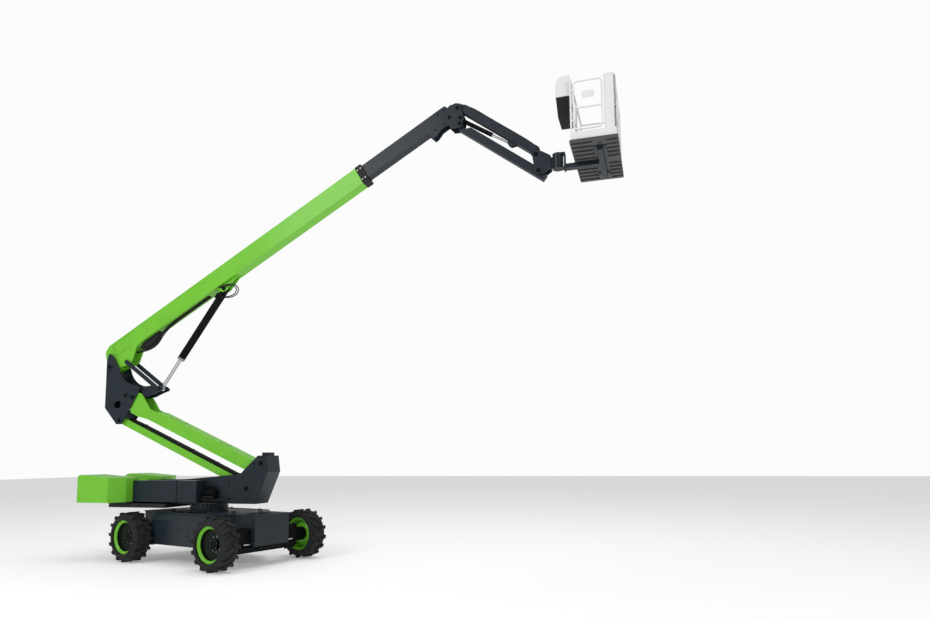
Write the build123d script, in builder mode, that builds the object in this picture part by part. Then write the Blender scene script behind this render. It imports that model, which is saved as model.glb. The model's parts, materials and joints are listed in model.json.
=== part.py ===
from build123d import *
from math import atan2, cos, degrees, hypot, radians, sin, sqrt
import os

os.makedirs("parts", exist_ok=True)

# Articulated boom lift, in millimetres, ground at z = 0.
# The booms lie in one upright plane along +X, with the platform at the +X end.
# Lengths along a boom are named s, heights across it t, both in that boom's own plane.
# Lengths of the chassis are measured from its own centre, along and across its own axis.

# Place of the slew axis, set so that the origin is under the middle of the whole machine
SLEW_X = -2800.0
SLEW_Y = 75.0

# Fits
PIN_PLAY = 0.1
OPEN_PLAY = 1.0
SEAT_GAP = 0.3
SLIDE_GAP = 0.3

# Chassis
CHASSIS_YAW = -15.8
CHASSIS_SHIFT = 286.0
WHEELBASE = 2500.0
TRACK = 2150.0
DECK_TOP = 940.0
DECK_PLATE = 25.0
HULL_BOTTOM = 373.0
HULL_WALL = 16.0
HULL_HALF = 740.0
HULL_REAR = -930.0
HULL_FRONT = 600.0
NOSE_HALF = 420.0
NOSE_ROOT = 980.0
NOSE_END = 1510.0
TAIL_HALF = 600.0
TAIL_ROOT = -1000.0
TAIL_END = -1500.0
DECK_LIP = 12.0
COVER_HALF = 860.0
COVER_BOTTOM = 330.0
COVER_SLOPE_Z = 800.0
COVER_TOP_HALF = 760.0
RIDGE_STEP = 8.0
RIDGE_LOW = 430.0
RIDGE_HIGH = 650.0
RING_R = 365.0
RING_HEIGHT = 110.0
RING_TOP_R = 330.0
EYE_TUBE = 14.0
EYE_R = 42.0
EYE_FOOT = 8.0

# Axles, knuckles and wheels
AXLE_HALF_X = 140.0
AXLE_Z = 475.0
AXLE_BOTTOM = 285.0
AXLE_TOP = 680.0
AXLE_END = 700.0
AXLE_PLAY = 12.0
RAM_R = 32.0
RAM_HALF = 260.0
PIVOT_TUBE_R = 70.0
KINGPIN_Y = 800.0
KINGPIN_R = 32.0
YOKE_PLATE = 60.0
YOKE_R = 70.0
KNUCKLE_R = 85.0
KNUCKLE_GAP = 5.0
ARM_LENGTH = 210.0
ARM_HALF = 26.0
ARM_Z = 238.0
ARM_PLATE = 24.0
TIE_ROD_R = 18.0
DRUM_R = 130.0
DRUM_IN = 872.0
FLANGE_R = 190.0
SPINDLE_R = 45.0
TYRE_R = 475.0
TYRE_HALF = 170.0
TREAD_R = 440.0
LUG_COUNT = 15
LUG_WIDTH = 74.0
LUG_SLANT = 58.0
LUG_INNER = 10.0
LUG_OUTER = 160.0
RIM_R = 290.0
RIM_LIP_R = 323.0
RIM_HALF = 125.0
RIM_WALL = 10.0
LIP_WIDTH = 14.0
DISC_OUT = -20.0
DISC_PLATE = 18.0
HUB_R = 100.0
HUB_OUT = 48.0

# Turntable
TABLE_HALF = 220.0
TABLE_PLATE = 25.0
BASE_Z = 1090.0
BASE_PLATE = 30.0
SLAB_BOTTOM = 1010.0
SLAB_REAR = -2000.0
SLAB_FRONT = -650.0
SLAB_HALF = 520.0
HOOD_REAR = -2480.0
HOOD_FRONT = -1450.0
HOOD_IN = 330.0
HOOD_OUT = 1000.0
HOOD_BOTTOM = 1125.0
HOOD_TOP_REAR = 1665.0
HOOD_TOP_FRONT = 1600.0
HOOD_WALL = 6.0
MASS_REAR = -2310.0
MASS_FRONT = -1920.0
MASS_TOP = 1540.0
MASS_GAP = 14.0
SIDE_BOX_REAR = HOOD_FRONT + 0.3
SIDE_BOX_FRONT = -420.0
SIDE_BOX_OUT = 490.0
SIDE_BOX_TOP = 1540.0
SIDE_BOX_WALL = 6.0
CONTROL_FRONT = 50.0
CONTROL_OUT = 500.0
BOX_GAP = 20.0

# Riser boom and its parallel link, pinned to the turntable and to the upright
RISER_FOOT = (1290.0, 1870.0)
RISER_HEAD = (-1830.0, 3260.0)
LINK_FOOT = (980.0, 1390.0)
RISER_RUN = hypot(RISER_HEAD[0] - RISER_FOOT[0], RISER_HEAD[1] - RISER_FOOT[1])
RISER_FALL = degrees(atan2(RISER_FOOT[1] - RISER_HEAD[1], RISER_FOOT[0] - RISER_HEAD[0]))
LINK_HEAD = (LINK_FOOT[0] + RISER_HEAD[0] - RISER_FOOT[0], LINK_FOOT[1] + RISER_HEAD[1] - RISER_FOOT[1])
RISER_HALF = 155.0
RISER_TOP = -37.0
RISER_BOTTOM = -273.0
RISER_WALL = 8.0
FORK_PLATE = 28.0
FORK_ROOT = 716.0
FORK_DIP = -62.0
LINK_HALF = 110.0
LINK_BOTTOM = -65.0
LINK_TOP = 75.0
LINK_WALL = 6.0
HOSE_TRAY = 25.0
PIN_R = 35.0

# Upright between riser and main boom
CHEEK_IN = 165.0
CHEEK_OUT = 185.0
BOOM_PIVOT = (-2440.0, 3920.0)
ROCKER_PIVOT = (-2000.0, 3300.0)
ROCKER_TIP = (-1240.0, 3430.0)
ROCKER_OUT = 118.0
ROCKER_PLATE = 30.0
TIE_IN = 133.0
TIE_OUT = 153.0
TIE_HALF = 43.0

# Main boom and its extension
BOOM_ANGLE = 29.2
BOOM_HALF = 125.0
BOOM_BOTTOM = 96.0
BOOM_TOP = 450.0
BOOM_MOUTH = 6830.0
BOOM_BOX_START = 330.0
BOOM_WALL = 8.0
TIE_PIN = (389.0, -103.0)
LIFT_PIN = (3090.0, 14.0)
LUG_IN = 48.0
LUG_PLATE = 24.0
COLLAR_LENGTH = 130.0
COLLAR_LIP = 8.0
EXT_HALF = 95.0
EXT_BOTTOM = 155.0
EXT_TOP = 432.0
EXT_WALL = 8.0
EXT_START = 2300.0
EXT_BOX_END = 8480.0
PAD_LENGTH = 120.0
JIB_PIVOT = (EXT_BOX_END + 272.0, 160.0)
LIFT_BARREL_R = 75.0
LIFT_ROD_R = 37.0
LIFT_BARREL_LENGTH = 1762.0
LIFT_BARREL_START = 112.0
EYE_HALF = 44.0
LIFT_EYE_R = 58.0

# Jib
HEAD_IN = 101.0
HEAD_OUT = 121.0
JIB_ANGLE = -37.0
JIB_RUN = 1828.0
JIB_UPPER = (5280.0, 8490.0)
JIB_LOWER = (5320.0, 8180.0)
JIB_CYLINDER_FOOT = (5340.0, 8290.0)
JIB_CYLINDER_HEAD = (1286.0, -45.0)
JIB_UPPER_HALF = 70.0
JIB_UPPER_BOTTOM = -9.0
JIB_UPPER_TOP = 146.0
JIB_LOWER_HALF = 65.0
JIB_LOWER_BOTTOM = -98.0
JIB_LOWER_TOP = 56.0
JIB_WALL = 6.0
JIB_PIN_R = 25.0
JIB_BARREL_R = 40.0
JIB_ROD_R = 20.0
JIB_BARREL_LENGTH = 690.0
JIB_LUG_IN = 30.0
JIB_LUG_PLATE = 16.0
END_IN = 78.0
END_OUT = 98.0
END_WEB_X = 6985.0
END_WEB = 20.0
ROTATOR_X = 7120.0
ROTATOR_R = 95.0
ROTATOR_LOW = 7110.0
ROTATOR_HIGH = 7350.0
ROTATOR_PIN_R = 30.0

# Platform
FLOOR_X0 = 7430.0
FLOOR_X1 = 8225.0
FLOOR_HALF = 900.0
FLOOR_Z = 7150.0
FLOOR_PLATE = 6.0
FLOOR_RIM = 40.0
FLOOR_RIM_WIDTH = 20.0
FLOOR_CORNER = 30.0
FLOOR_RIBS = 11
RIB_DEPTH = 22.0
RIB_HALF = 22.0
BEAM_HALF = 70.0
BEAM_HEIGHT = 80.0
CROSS_X0 = 7860.0
CROSS_X1 = 7950.0
CROSS_HALF = 640.0
RAIL_R = 18.0
RAIL_TOP = 8262.0
RAIL_MID = 7720.0
TOE_TOP = 7330.0
TOE_PLATE = 4.0
PANEL_X = 8030.0
GATE_X0 = 7515.0
GATE_X1 = 7985.0
GATE_R = 15.0
GATE_LOW = 7375.0
GATE_MID = 7750.0
GATE_HIGH = 8215.0
GATE_CORNER = 70.0
HINGE_EYES = (7520.0, 8050.0)
HINGE_EYE = 30.0
CONSOLE_Y0 = -790.0
CONSOLE_Y1 = -330.0


def boom_plane(point, angle=0.0, y=0.0):
    """Upright plane in line with the booms, its normal towards -Y"""
    origin = (SLEW_X + point[0], SLEW_Y + y, point[1])
    return Plane(origin=origin, x_dir=(cos(radians(angle)), 0, sin(radians(angle))), z_dir=(0, -1, 0))


def level_plane(z):
    """Level plane at a height, in the turntable's directions, from the slew axis"""
    return Plane(origin=(SLEW_X, SLEW_Y, z), x_dir=(1, 0, 0), z_dir=(0, 0, 1))


YAW_COS = cos(radians(CHASSIS_YAW))
YAW_SIN = sin(radians(CHASSIS_YAW))


def chassis_point(x, y, z):
    """A point given along, across and above the chassis, from its own centre"""
    along = x + CHASSIS_SHIFT
    return (SLEW_X + along * YAW_COS - y * YAW_SIN, SLEW_Y + along * YAW_SIN + y * YAW_COS, z)


def chassis_level(z):
    """Level plane in the chassis's own directions, from its centre"""
    return Plane(origin=chassis_point(0, 0, z), x_dir=(YAW_COS, YAW_SIN, 0), z_dir=(0, 0, 1))


def chassis_section(x, y=0.0, z=0.0):
    """Upright plane across the chassis: local x across it, local y up, normal along it"""
    return Plane(origin=chassis_point(x, y, z), x_dir=(-YAW_SIN, YAW_COS, 0), z_dir=(YAW_COS, YAW_SIN, 0))


def wheel_plane(x, side, z=AXLE_Z):
    """Upright plane through a wheel's axis: local x outboard from the wheel's middle, local y up"""
    out = (-YAW_SIN * side, YAW_COS * side, 0)
    return Plane(origin=chassis_point(x, side * TRACK / 2, z), x_dir=out, z_dir=(out[1], -out[0], 0))


def slab(plane, outline, half, mode=Mode.ADD):
    """Outline made solid to the same depth on both sides of its plane"""
    with BuildSketch(plane) as sketch:
        Polygon(*outline, align=None)
    extrude(sketch.sketch, amount=half, both=True, mode=mode)


def block(plane, low, high, half, mode=Mode.ADD):
    """Rectangle between two corners, made solid on both sides of its plane"""
    slab(plane, [low, (high[0], low[1]), high, (low[0], high[1])], half, mode)


def cheeks(plane, outline, outer, inner):
    """Two like plates, one on each side of a plane"""
    for plate in (plane.offset(inner), plane.offset(-outer)):
        with BuildSketch(plate) as sketch:
            Polygon(*outline, align=None)
        extrude(sketch.sketch, amount=outer - inner)


def drum(plane, centre, radius, half, mode=Mode.ADD):
    """Round pin, boss or bore across a plane"""
    with BuildSketch(plane) as sketch:
        with Locations(centre):
            Circle(radius)
    extrude(sketch.sketch, amount=half, both=True, mode=mode)


def rings(plane, centre, radius, outer, inner):
    """Two like bosses, one on each side of a plane"""
    for plate in (plane.offset(inner), plane.offset(-outer)):
        with BuildSketch(plate) as sketch:
            with Locations(centre):
                Circle(radius)
        extrude(sketch.sketch, amount=outer - inner)


def upright_disc(x, y, z, radius, height, mode=Mode.ADD):
    """Upright cylinder on the chassis"""
    with BuildSketch(chassis_level(z)) as sketch:
        with Locations((x, y)):
            Circle(radius)
    extrude(sketch.sketch, amount=height, mode=mode)


def chassis_box(x, y, z, mode=Mode.ADD):
    """Box between pairs of lengths along, across and above the chassis"""
    with BuildSketch(chassis_level(z[0])) as sketch:
        Polygon((x[0], y[0]), (x[1], y[0]), (x[1], y[1]), (x[0], y[1]), align=None)
    extrude(sketch.sketch, amount=z[1] - z[0], mode=mode)


def mirrored(half_outline):
    """Closed outline from its points on one side of the middle line"""
    return half_outline + [(x, -y) for x, y in reversed(half_outline)]


def finish(part, name):
    """Label a piece and write it"""
    part.label = name
    export_step(part, "parts/" + name + ".step")


# Chassis frame: a hull open below, a nose between the steered wheels and a tail between the fixed ones
def hull_outline(inset):
    return mirrored(
        [
            (TAIL_END + inset, TAIL_HALF - inset),
            (TAIL_ROOT, TAIL_HALF - inset),
            (HULL_REAR + inset, HULL_HALF - inset),
            (HULL_FRONT - inset, HULL_HALF - inset),
            (NOSE_ROOT - inset, NOSE_HALF - inset),
            (NOSE_END - inset, NOSE_HALF - inset),
        ]
    )


DECK_BOTTOM = DECK_TOP - DECK_PLATE
AXLE_X = WHEELBASE / 2

with BuildPart() as chassis_frame:
    with BuildSketch(chassis_level(HULL_BOTTOM)):
        Polygon(*hull_outline(0.0), align=None)
    extrude(amount=DECK_BOTTOM - HULL_BOTTOM)
    with BuildSketch(chassis_level(HULL_BOTTOM)):
        Polygon(*hull_outline(HULL_WALL), align=None)
    extrude(amount=DECK_BOTTOM - HULL_BOTTOM - HULL_WALL, mode=Mode.SUBTRACT)
    with BuildSketch(chassis_level(DECK_BOTTOM)):
        Polygon(*hull_outline(-DECK_LIP), align=None)
    extrude(amount=DECK_PLATE)
    # Cross walls that close the nose and the tail and carry the axles' pivot tubes
    for wall_x, wall_half in ((NOSE_ROOT, NOSE_HALF), (TAIL_ROOT - HULL_WALL, TAIL_HALF)):
        chassis_box((wall_x, wall_x + HULL_WALL), (-wall_half + 1, wall_half - 1), (HULL_BOTTOM, DECK_BOTTOM))
    # Openings that the axle beams pass through
    for axle_x in (-AXLE_X, AXLE_X):
        reach = AXLE_HALF_X + AXLE_PLAY
        chassis_box(
            (axle_x - reach, axle_x + reach),
            (-HULL_HALF, HULL_HALF),
            (HULL_BOTTOM, AXLE_TOP + AXLE_PLAY),
            Mode.SUBTRACT,
        )
    # Ring seat under the turntable
    with BuildSketch(level_plane(HULL_BOTTOM)):
        Circle(RING_TOP_R)
        Circle(RING_TOP_R - HULL_WALL, mode=Mode.SUBTRACT)
    extrude(amount=DECK_BOTTOM - HULL_BOTTOM)
    # Slew ring on the deck
    with BuildSketch(level_plane(DECK_TOP - 1)):
        Circle(RING_R)
    extrude(amount=RING_HEIGHT + 1)
    # Lifting eyes on the deck
    for eye_x, eye_y in ((820.0, 330.0), (820.0, -330.0), (-760.0, 480.0), (-760.0, -480.0)):
        with BuildSketch(chassis_section(eye_x - EYE_TUBE, eye_y, DECK_TOP)):
            for radius, mode in ((EYE_R, Mode.ADD), (EYE_R - EYE_TUBE, Mode.SUBTRACT)):
                with Locations((0, EYE_FOOT)):
                    Circle(radius, mode=mode)
                with Locations((0, EYE_FOOT / 2)):
                    Rectangle(2 * radius, EYE_FOOT, mode=mode)
            with Locations((0, -EYE_R)):
                Rectangle(4 * EYE_R, 2 * EYE_R, mode=Mode.SUBTRACT)
        extrude(amount=2 * EYE_TUBE)
finish(chassis_frame.part, "chassis_frame")


# Side covers with a sloped top strip and a raised middle band
def cover_outline(side, inner):
    points = [
        (inner, HULL_BOTTOM),
        (inner, DECK_BOTTOM - DECK_LIP),
        (COVER_TOP_HALF, DECK_BOTTOM - DECK_LIP),
        (COVER_HALF - RIDGE_STEP, COVER_SLOPE_Z),
        (COVER_HALF - RIDGE_STEP, RIDGE_HIGH),
        (COVER_HALF, RIDGE_HIGH - RIDGE_STEP),
        (COVER_HALF, RIDGE_LOW),
        (COVER_HALF - RIDGE_STEP, RIDGE_LOW - RIDGE_STEP),
        (COVER_HALF - RIDGE_STEP, COVER_BOTTOM + RIDGE_STEP),
        (COVER_HALF - 4 * RIDGE_STEP, COVER_BOTTOM),
        (inner, COVER_BOTTOM),
    ]
    return [(side * y, z) for y, z in points]


with BuildPart() as side_covers:
    for side in (-1, 1):
        with BuildSketch(chassis_section(HULL_REAR)):
            Polygon(*cover_outline(side, HULL_HALF + SEAT_GAP), align=None)
        extrude(amount=HULL_FRONT - HULL_REAR)
finish(side_covers.part, "side_covers")

def axle_beam(x, half):
    """Beam across the chassis with its pivot tube along it"""
    chassis_box((x - AXLE_HALF_X, x + AXLE_HALF_X), (-half, half), (AXLE_BOTTOM, AXLE_TOP))
    cavity = HULL_WALL
    chassis_box(
        (x - AXLE_HALF_X + cavity, x + AXLE_HALF_X - cavity),
        (-half + cavity, half - cavity),
        (AXLE_BOTTOM - 1, AXLE_TOP - cavity),
        Mode.SUBTRACT,
    )


def pivot_tube(x0, x1):
    with BuildSketch(chassis_section(x0, 0.0, AXLE_Z)) as sketch:
        Circle(PIVOT_TUBE_R)
    extrude(sketch.sketch, amount=x1 - x0)


# Steered axle beam with a yoke at each end for the kingpins
with BuildPart() as steer_axle:
    axle_beam(AXLE_X, AXLE_END)
    pivot_tube(NOSE_ROOT + HULL_WALL + SEAT_GAP, NOSE_END - HULL_WALL - SEAT_GAP)
    for side in (-1, 1):
        for yoke_z in (AXLE_BOTTOM, AXLE_TOP - YOKE_PLATE):
            edge_y = side * (AXLE_END - HULL_WALL)
            chassis_box(
                (AXLE_X - YOKE_R, AXLE_X + YOKE_R),
                tuple(sorted((edge_y, side * KINGPIN_Y))),
                (yoke_z, yoke_z + YOKE_PLATE),
            )
            upright_disc(AXLE_X, side * KINGPIN_Y, yoke_z, YOKE_R, YOKE_PLATE)
        bore_low = AXLE_BOTTOM - 1
        upright_disc(AXLE_X, side * KINGPIN_Y, bore_low, KINGPIN_R + PIN_PLAY, AXLE_TOP - bore_low + 1, Mode.SUBTRACT)
    # Steering ram along the front of the beam, on two brackets
    ram_x = AXLE_X + AXLE_HALF_X + RAM_R + 8.0
    ram_plane = Plane(
        origin=chassis_point(ram_x, 0.0, AXLE_BOTTOM + 2 * RAM_R),
        x_dir=(YAW_COS, YAW_SIN, 0),
        z_dir=(-YAW_SIN, YAW_COS, 0),
    )
    for ram_r, ram_half in ((RAM_R, RAM_HALF), (0.45 * RAM_R, AXLE_END)):
        with BuildSketch(ram_plane):
            Circle(ram_r)
        extrude(amount=ram_half, both=True)
    for side in (-1, 1):
        bracket_y = side * 0.8 * RAM_HALF
        bracket_z = (AXLE_BOTTOM + RAM_R, AXLE_BOTTOM + 3 * RAM_R)
        chassis_box((AXLE_X + AXLE_HALF_X - 2, ram_x), (bracket_y - 15, bracket_y + 15), bracket_z)
finish(steer_axle.part, "steer_axle")


def hub_drum(side, x, inner):
    """Drive drum and spindle that carry a wheel, outboard from a distance across the chassis"""
    plane = wheel_plane(x, side)
    start = inner - TRACK / 2
    with BuildSketch(plane) as sketch:
        Polygon(
            (start, 0),
            (start, DRUM_R),
            (DISC_OUT - DISC_PLATE - KNUCKLE_GAP, DRUM_R),
            (DISC_OUT - DISC_PLATE - KNUCKLE_GAP, SPINDLE_R),
            (HUB_OUT - KNUCKLE_GAP, SPINDLE_R),
            (HUB_OUT - KNUCKLE_GAP, 0),
            align=None,
        )
    revolve(sketch.sketch, axis=Axis(plane.origin, plane.x_dir))


# Fixed axle with a bearing flange behind each wheel
with BuildPart() as fixed_axle:
    axle_beam(-AXLE_X, AXLE_END)
    pivot_tube(TAIL_END + HULL_WALL + SEAT_GAP, TAIL_ROOT - HULL_WALL - SEAT_GAP)
    for side in (-1, 1):
        hub_drum(side, -AXLE_X, AXLE_END - HULL_WALL)
        flange_plane = wheel_plane(-AXLE_X, side)
        with BuildSketch(flange_plane):
            Polygon(
                (AXLE_END + 20 - TRACK / 2, 0),
                (AXLE_END + 20 - TRACK / 2, FLANGE_R - 40),
                (AXLE_END + 80 - TRACK / 2, FLANGE_R),
                (DRUM_IN - TRACK / 2, FLANGE_R),
                (DRUM_IN - TRACK / 2, 0),
                align=None,
            )
        revolve(axis=Axis(flange_plane.origin, flange_plane.x_dir))
finish(fixed_axle.part, "fixed_axle")


def knuckle(side):
    """Steering knuckle: kingpin, body, steering arm, drum and spindle"""
    y = side * KINGPIN_Y
    body_low = AXLE_BOTTOM + YOKE_PLATE + KNUCKLE_GAP
    body_high = AXLE_TOP - YOKE_PLATE - KNUCKLE_GAP
    upright_disc(AXLE_X, y, ARM_Z, KINGPIN_R, AXLE_TOP + 10 - ARM_Z)
    upright_disc(AXLE_X, y, body_low, KNUCKLE_R, body_high - body_low)
    chassis_box(
        (AXLE_X - KNUCKLE_R, AXLE_X + KNUCKLE_R),
        tuple(sorted((y, side * (DRUM_IN + 10)))),
        (AXLE_Z - KNUCKLE_R, AXLE_Z + KNUCKLE_R),
    )
    chassis_box((AXLE_X - ARM_LENGTH, AXLE_X), (y - ARM_HALF, y + ARM_HALF), (ARM_Z, ARM_Z + ARM_PLATE))
    for arm_x in (AXLE_X - ARM_LENGTH, AXLE_X):
        upright_disc(arm_x, y, ARM_Z, 1.6 * ARM_HALF, ARM_PLATE)
    hub_drum(side, AXLE_X, DRUM_IN)


with BuildPart() as knuckle_near:
    knuckle(-1)
finish(knuckle_near.part, "knuckle_near")

with BuildPart() as knuckle_far:
    knuckle(1)
finish(knuckle_far.part, "knuckle_far")

# Tie rod that joins the two steering arms from below
with BuildPart() as tie_rod:
    rod_x = AXLE_X - ARM_LENGTH
    rod_z = ARM_Z - SEAT_GAP - TIE_ROD_R
    for side in (-1, 1):
        upright_disc(rod_x, side * KINGPIN_Y, rod_z - TIE_ROD_R, 1.5 * ARM_HALF, 2 * TIE_ROD_R)
    rod_plane = Plane(
        origin=chassis_point(rod_x, -KINGPIN_Y, rod_z),
        x_dir=(YAW_COS, YAW_SIN, 0),
        z_dir=(-YAW_SIN, YAW_COS, 0),
    )
    with BuildSketch(rod_plane):
        Circle(TIE_ROD_R - 2)
    extrude(amount=2 * KINGPIN_Y)
finish(tie_rod.part, "tie_rod")

# Wheels: name, place along the chassis, side
WHEELS = [
    ("near_front", AXLE_X, -1),
    ("far_front", AXLE_X, 1),
    ("near_rear", -AXLE_X, -1),
    ("far_rear", -AXLE_X, 1),
]

# Tyre section, outboard half: distance from the middle, radius
TYRE_SECTION = [
    (TYRE_HALF - 30, TREAD_R),
    (TYRE_HALF, TYRE_R - 95),
]
FACETS = 2 * LUG_COUNT


def ring_plane(x, side, out):
    """Plane across a wheel's axis, a distance outboard from the wheel's middle"""
    plane = wheel_plane(x, side)
    return Plane(origin=plane.origin + plane.x_dir * out, x_dir=plane.y_dir, z_dir=plane.x_dir)


def tyre(x, side):
    """Carcass of flat facets, two to a lug, with a stepped seat for the rim"""
    sections = []
    for out, radius in [(-w, r) for w, r in reversed(TYRE_SECTION)] + TYRE_SECTION:
        with BuildSketch(ring_plane(x, side, out)) as sketch:
            RegularPolygon(radius, FACETS)
        sections.append(sketch.sketch)
    loft(sections, ruled=True)
    lip_seat = RIM_HALF - SEAT_GAP
    seats = [
        (-TYRE_HALF - 1, TYRE_HALF + 1, RIM_R),
        (lip_seat, TYRE_HALF + 1, RIM_LIP_R),
        (-TYRE_HALF - 1, -lip_seat, RIM_LIP_R),
    ]
    for start, end, radius in seats:
        with BuildSketch(ring_plane(x, side, start)) as sketch:
            RegularPolygon(radius + SEAT_GAP, FACETS, major_radius=False)
        extrude(sketch.sketch, amount=end - start, mode=Mode.SUBTRACT)


def lugs(x, side):
    """Two rows of slanted lugs, the rows half a step apart, their corners on the tyre's outer radius"""
    middle = Vector(*chassis_point(x, side * TRACK / 2, AXLE_Z))
    across = Vector(-YAW_SIN * side, YAW_COS * side, 0)
    reach = LUG_SLANT / 2 + LUG_WIDTH / 2
    top = sqrt(TYRE_R**2 - reach**2)
    for row in (-1, 1):
        for k in range(LUG_COUNT):
            turn = radians((k + 0.25 * row) * 360.0 / LUG_COUNT - 90.0)
            out = Vector(YAW_COS * cos(turn), YAW_SIN * cos(turn), sin(turn))
            with BuildSketch(Plane(origin=middle, x_dir=across, z_dir=out).offset(TREAD_R - 25.0)) as sketch:
                Polygon(
                    (row * LUG_INNER, -reach),
                    (row * LUG_INNER, LUG_WIDTH - reach),
                    (row * LUG_OUTER, reach),
                    (row * LUG_OUTER, reach - 0.8 * LUG_WIDTH),
                    align=None,
                )
            extrude(sketch.sketch, amount=top - TREAD_R + 25.0)


def rim(x, side):
    """Dished rim: two lips, a barrel, a disc set inboard and a closed hub around the spindle"""
    plane = wheel_plane(x, side)
    section = [
        (RIM_HALF + LIP_WIDTH, RIM_LIP_R),
        (RIM_HALF + LIP_WIDTH, RIM_LIP_R - 16),
        (RIM_HALF - 20, RIM_R - RIM_WALL - 6),
        (30.0, RIM_R - RIM_WALL - 14),
        (DISC_OUT, 175.0),
        (DISC_OUT, HUB_R),
        (HUB_OUT - 14, HUB_R - 8),
        (HUB_OUT, HUB_R - 30),
        (HUB_OUT + 12, 0),
        (HUB_OUT - KNUCKLE_GAP + SEAT_GAP, 0),
        (HUB_OUT - KNUCKLE_GAP + SEAT_GAP, SPINDLE_R + PIN_PLAY),
        (DISC_OUT - DISC_PLATE, SPINDLE_R + PIN_PLAY),
        (DISC_OUT - DISC_PLATE, 185.0),
        (10.0, RIM_R - RIM_WALL - 24),
        (-RIM_HALF, RIM_R - RIM_WALL),
        (-RIM_HALF - LIP_WIDTH, RIM_LIP_R - 16),
        (-RIM_HALF - LIP_WIDTH, RIM_LIP_R),
        (-RIM_HALF, RIM_LIP_R),
        (-RIM_HALF, RIM_R),
        (RIM_HALF, RIM_R),
        (RIM_HALF, RIM_LIP_R),
    ]
    with BuildSketch(plane) as sketch:
        Polygon(*section, align=None)
    revolve(sketch.sketch, axis=Axis(plane.origin, plane.x_dir))


for wheel_name, wheel_x, wheel_side in WHEELS:
    with BuildPart() as tyre_part:
        tyre(wheel_x, wheel_side)
        lugs(wheel_x, wheel_side)
    finish(tyre_part.part, "tyre_" + wheel_name)
    with BuildPart() as rim_part:
        rim(wheel_x, wheel_side)
    finish(rim_part.part, "rim_" + wheel_name)

# Turntable: two side plates that rise to an ear in front, a base plate and a front web
TABLE = boom_plane((0.0, 0.0))
TABLE_REAR = -1660.0
TABLE_OUTLINE = [
    (TABLE_REAR, BASE_Z),
    (TABLE_REAR, 1540.0),
    (-1030.0, 1530.0),
    (-320.0, 1570.0),
    (830.0, 1660.0),
    (1220.0, 2020.0),
    (1420.0, 2020.0),
    (1460.0, 1710.0),
    (1195.0, BASE_Z),
]

with BuildPart() as turntable_frame:
    cheeks(TABLE, TABLE_OUTLINE, TABLE_HALF, TABLE_HALF - TABLE_PLATE)
    block(TABLE, (TABLE_REAR, BASE_Z), (1190.0, BASE_Z + BASE_PLATE), TABLE_HALF - 1)
    block(TABLE, (-430.0, BASE_Z), (430.0, BASE_Z + BASE_PLATE), RING_R + 30)
    slab(TABLE, [(1195.0, BASE_Z), (1460.0, 1710.0), (1438.0, 1716.0), (1172.0, BASE_Z)], TABLE_HALF - 1)
    slab(TABLE, [(1460.0, 1705.0), (1420.0, 2019.0), (1397.0, 2019.0), (1437.0, 1705.0)], TABLE_HALF - 1)
    block(TABLE, (TABLE_REAR, BASE_Z), (TABLE_REAR + 20, 1380.0), TABLE_HALF - 1)
    block(TABLE, (1235.0, 2010.0), (1400.0, 2080.0), 90.0)
    block(TABLE, (1235.0, 2000.0), (1400.0, 2020.0), TABLE_HALF - 1)
    with BuildSketch(level_plane(DECK_TOP + RING_HEIGHT + SEAT_GAP)):
        Circle(RING_TOP_R)
    extrude(amount=BASE_Z - DECK_TOP - RING_HEIGHT - SEAT_GAP + 1)
    for pin in (RISER_FOOT, LINK_FOOT):
        drum(TABLE, pin, PIN_R, TABLE_HALF + 10)
finish(turntable_frame.part, "turntable_frame")

# Counterweight: a slab under the tail, with a mass inside each hood
with BuildPart() as counterweight:
    block(TABLE, (SLAB_REAR, SLAB_BOTTOM), (SLAB_FRONT, BASE_Z - SEAT_GAP), SLAB_HALF)
    for side in (-1, 1):
        mass_in = HOOD_IN + HOOD_WALL + MASS_GAP
        mass_out = HOOD_OUT - HOOD_WALL - 4 * MASS_GAP
        mass_plane = TABLE.offset(-side * (mass_in + mass_out) / 2)
        low = (MASS_REAR, HOOD_BOTTOM)
        block(mass_plane, low, (MASS_FRONT, MASS_TOP), (mass_out - mass_in) / 2)
        neck_plane = TABLE.offset(-side * (mass_in + SLAB_HALF) / 2)
        block(neck_plane, (SLAB_REAR, BASE_Z - 20), (MASS_FRONT, HOOD_BOTTOM + 5), (SLAB_HALF - mass_in) / 2)
finish(counterweight.part, "counterweight")


def hood_plan(side, inset):
    """Plan of a tail hood, its outer corners cut"""
    points = [
        (HOOD_REAR + inset, HOOD_IN + inset),
        (HOOD_REAR + inset, 700.0),
        (HOOD_REAR + 140.0 + inset, HOOD_OUT - inset),
        (HOOD_FRONT - 150.0 - inset, HOOD_OUT - inset),
        (HOOD_FRONT - inset, 680.0),
        (HOOD_FRONT - inset, HOOD_IN + inset),
    ]
    return [(x, side * y) for x, y in points]


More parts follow.
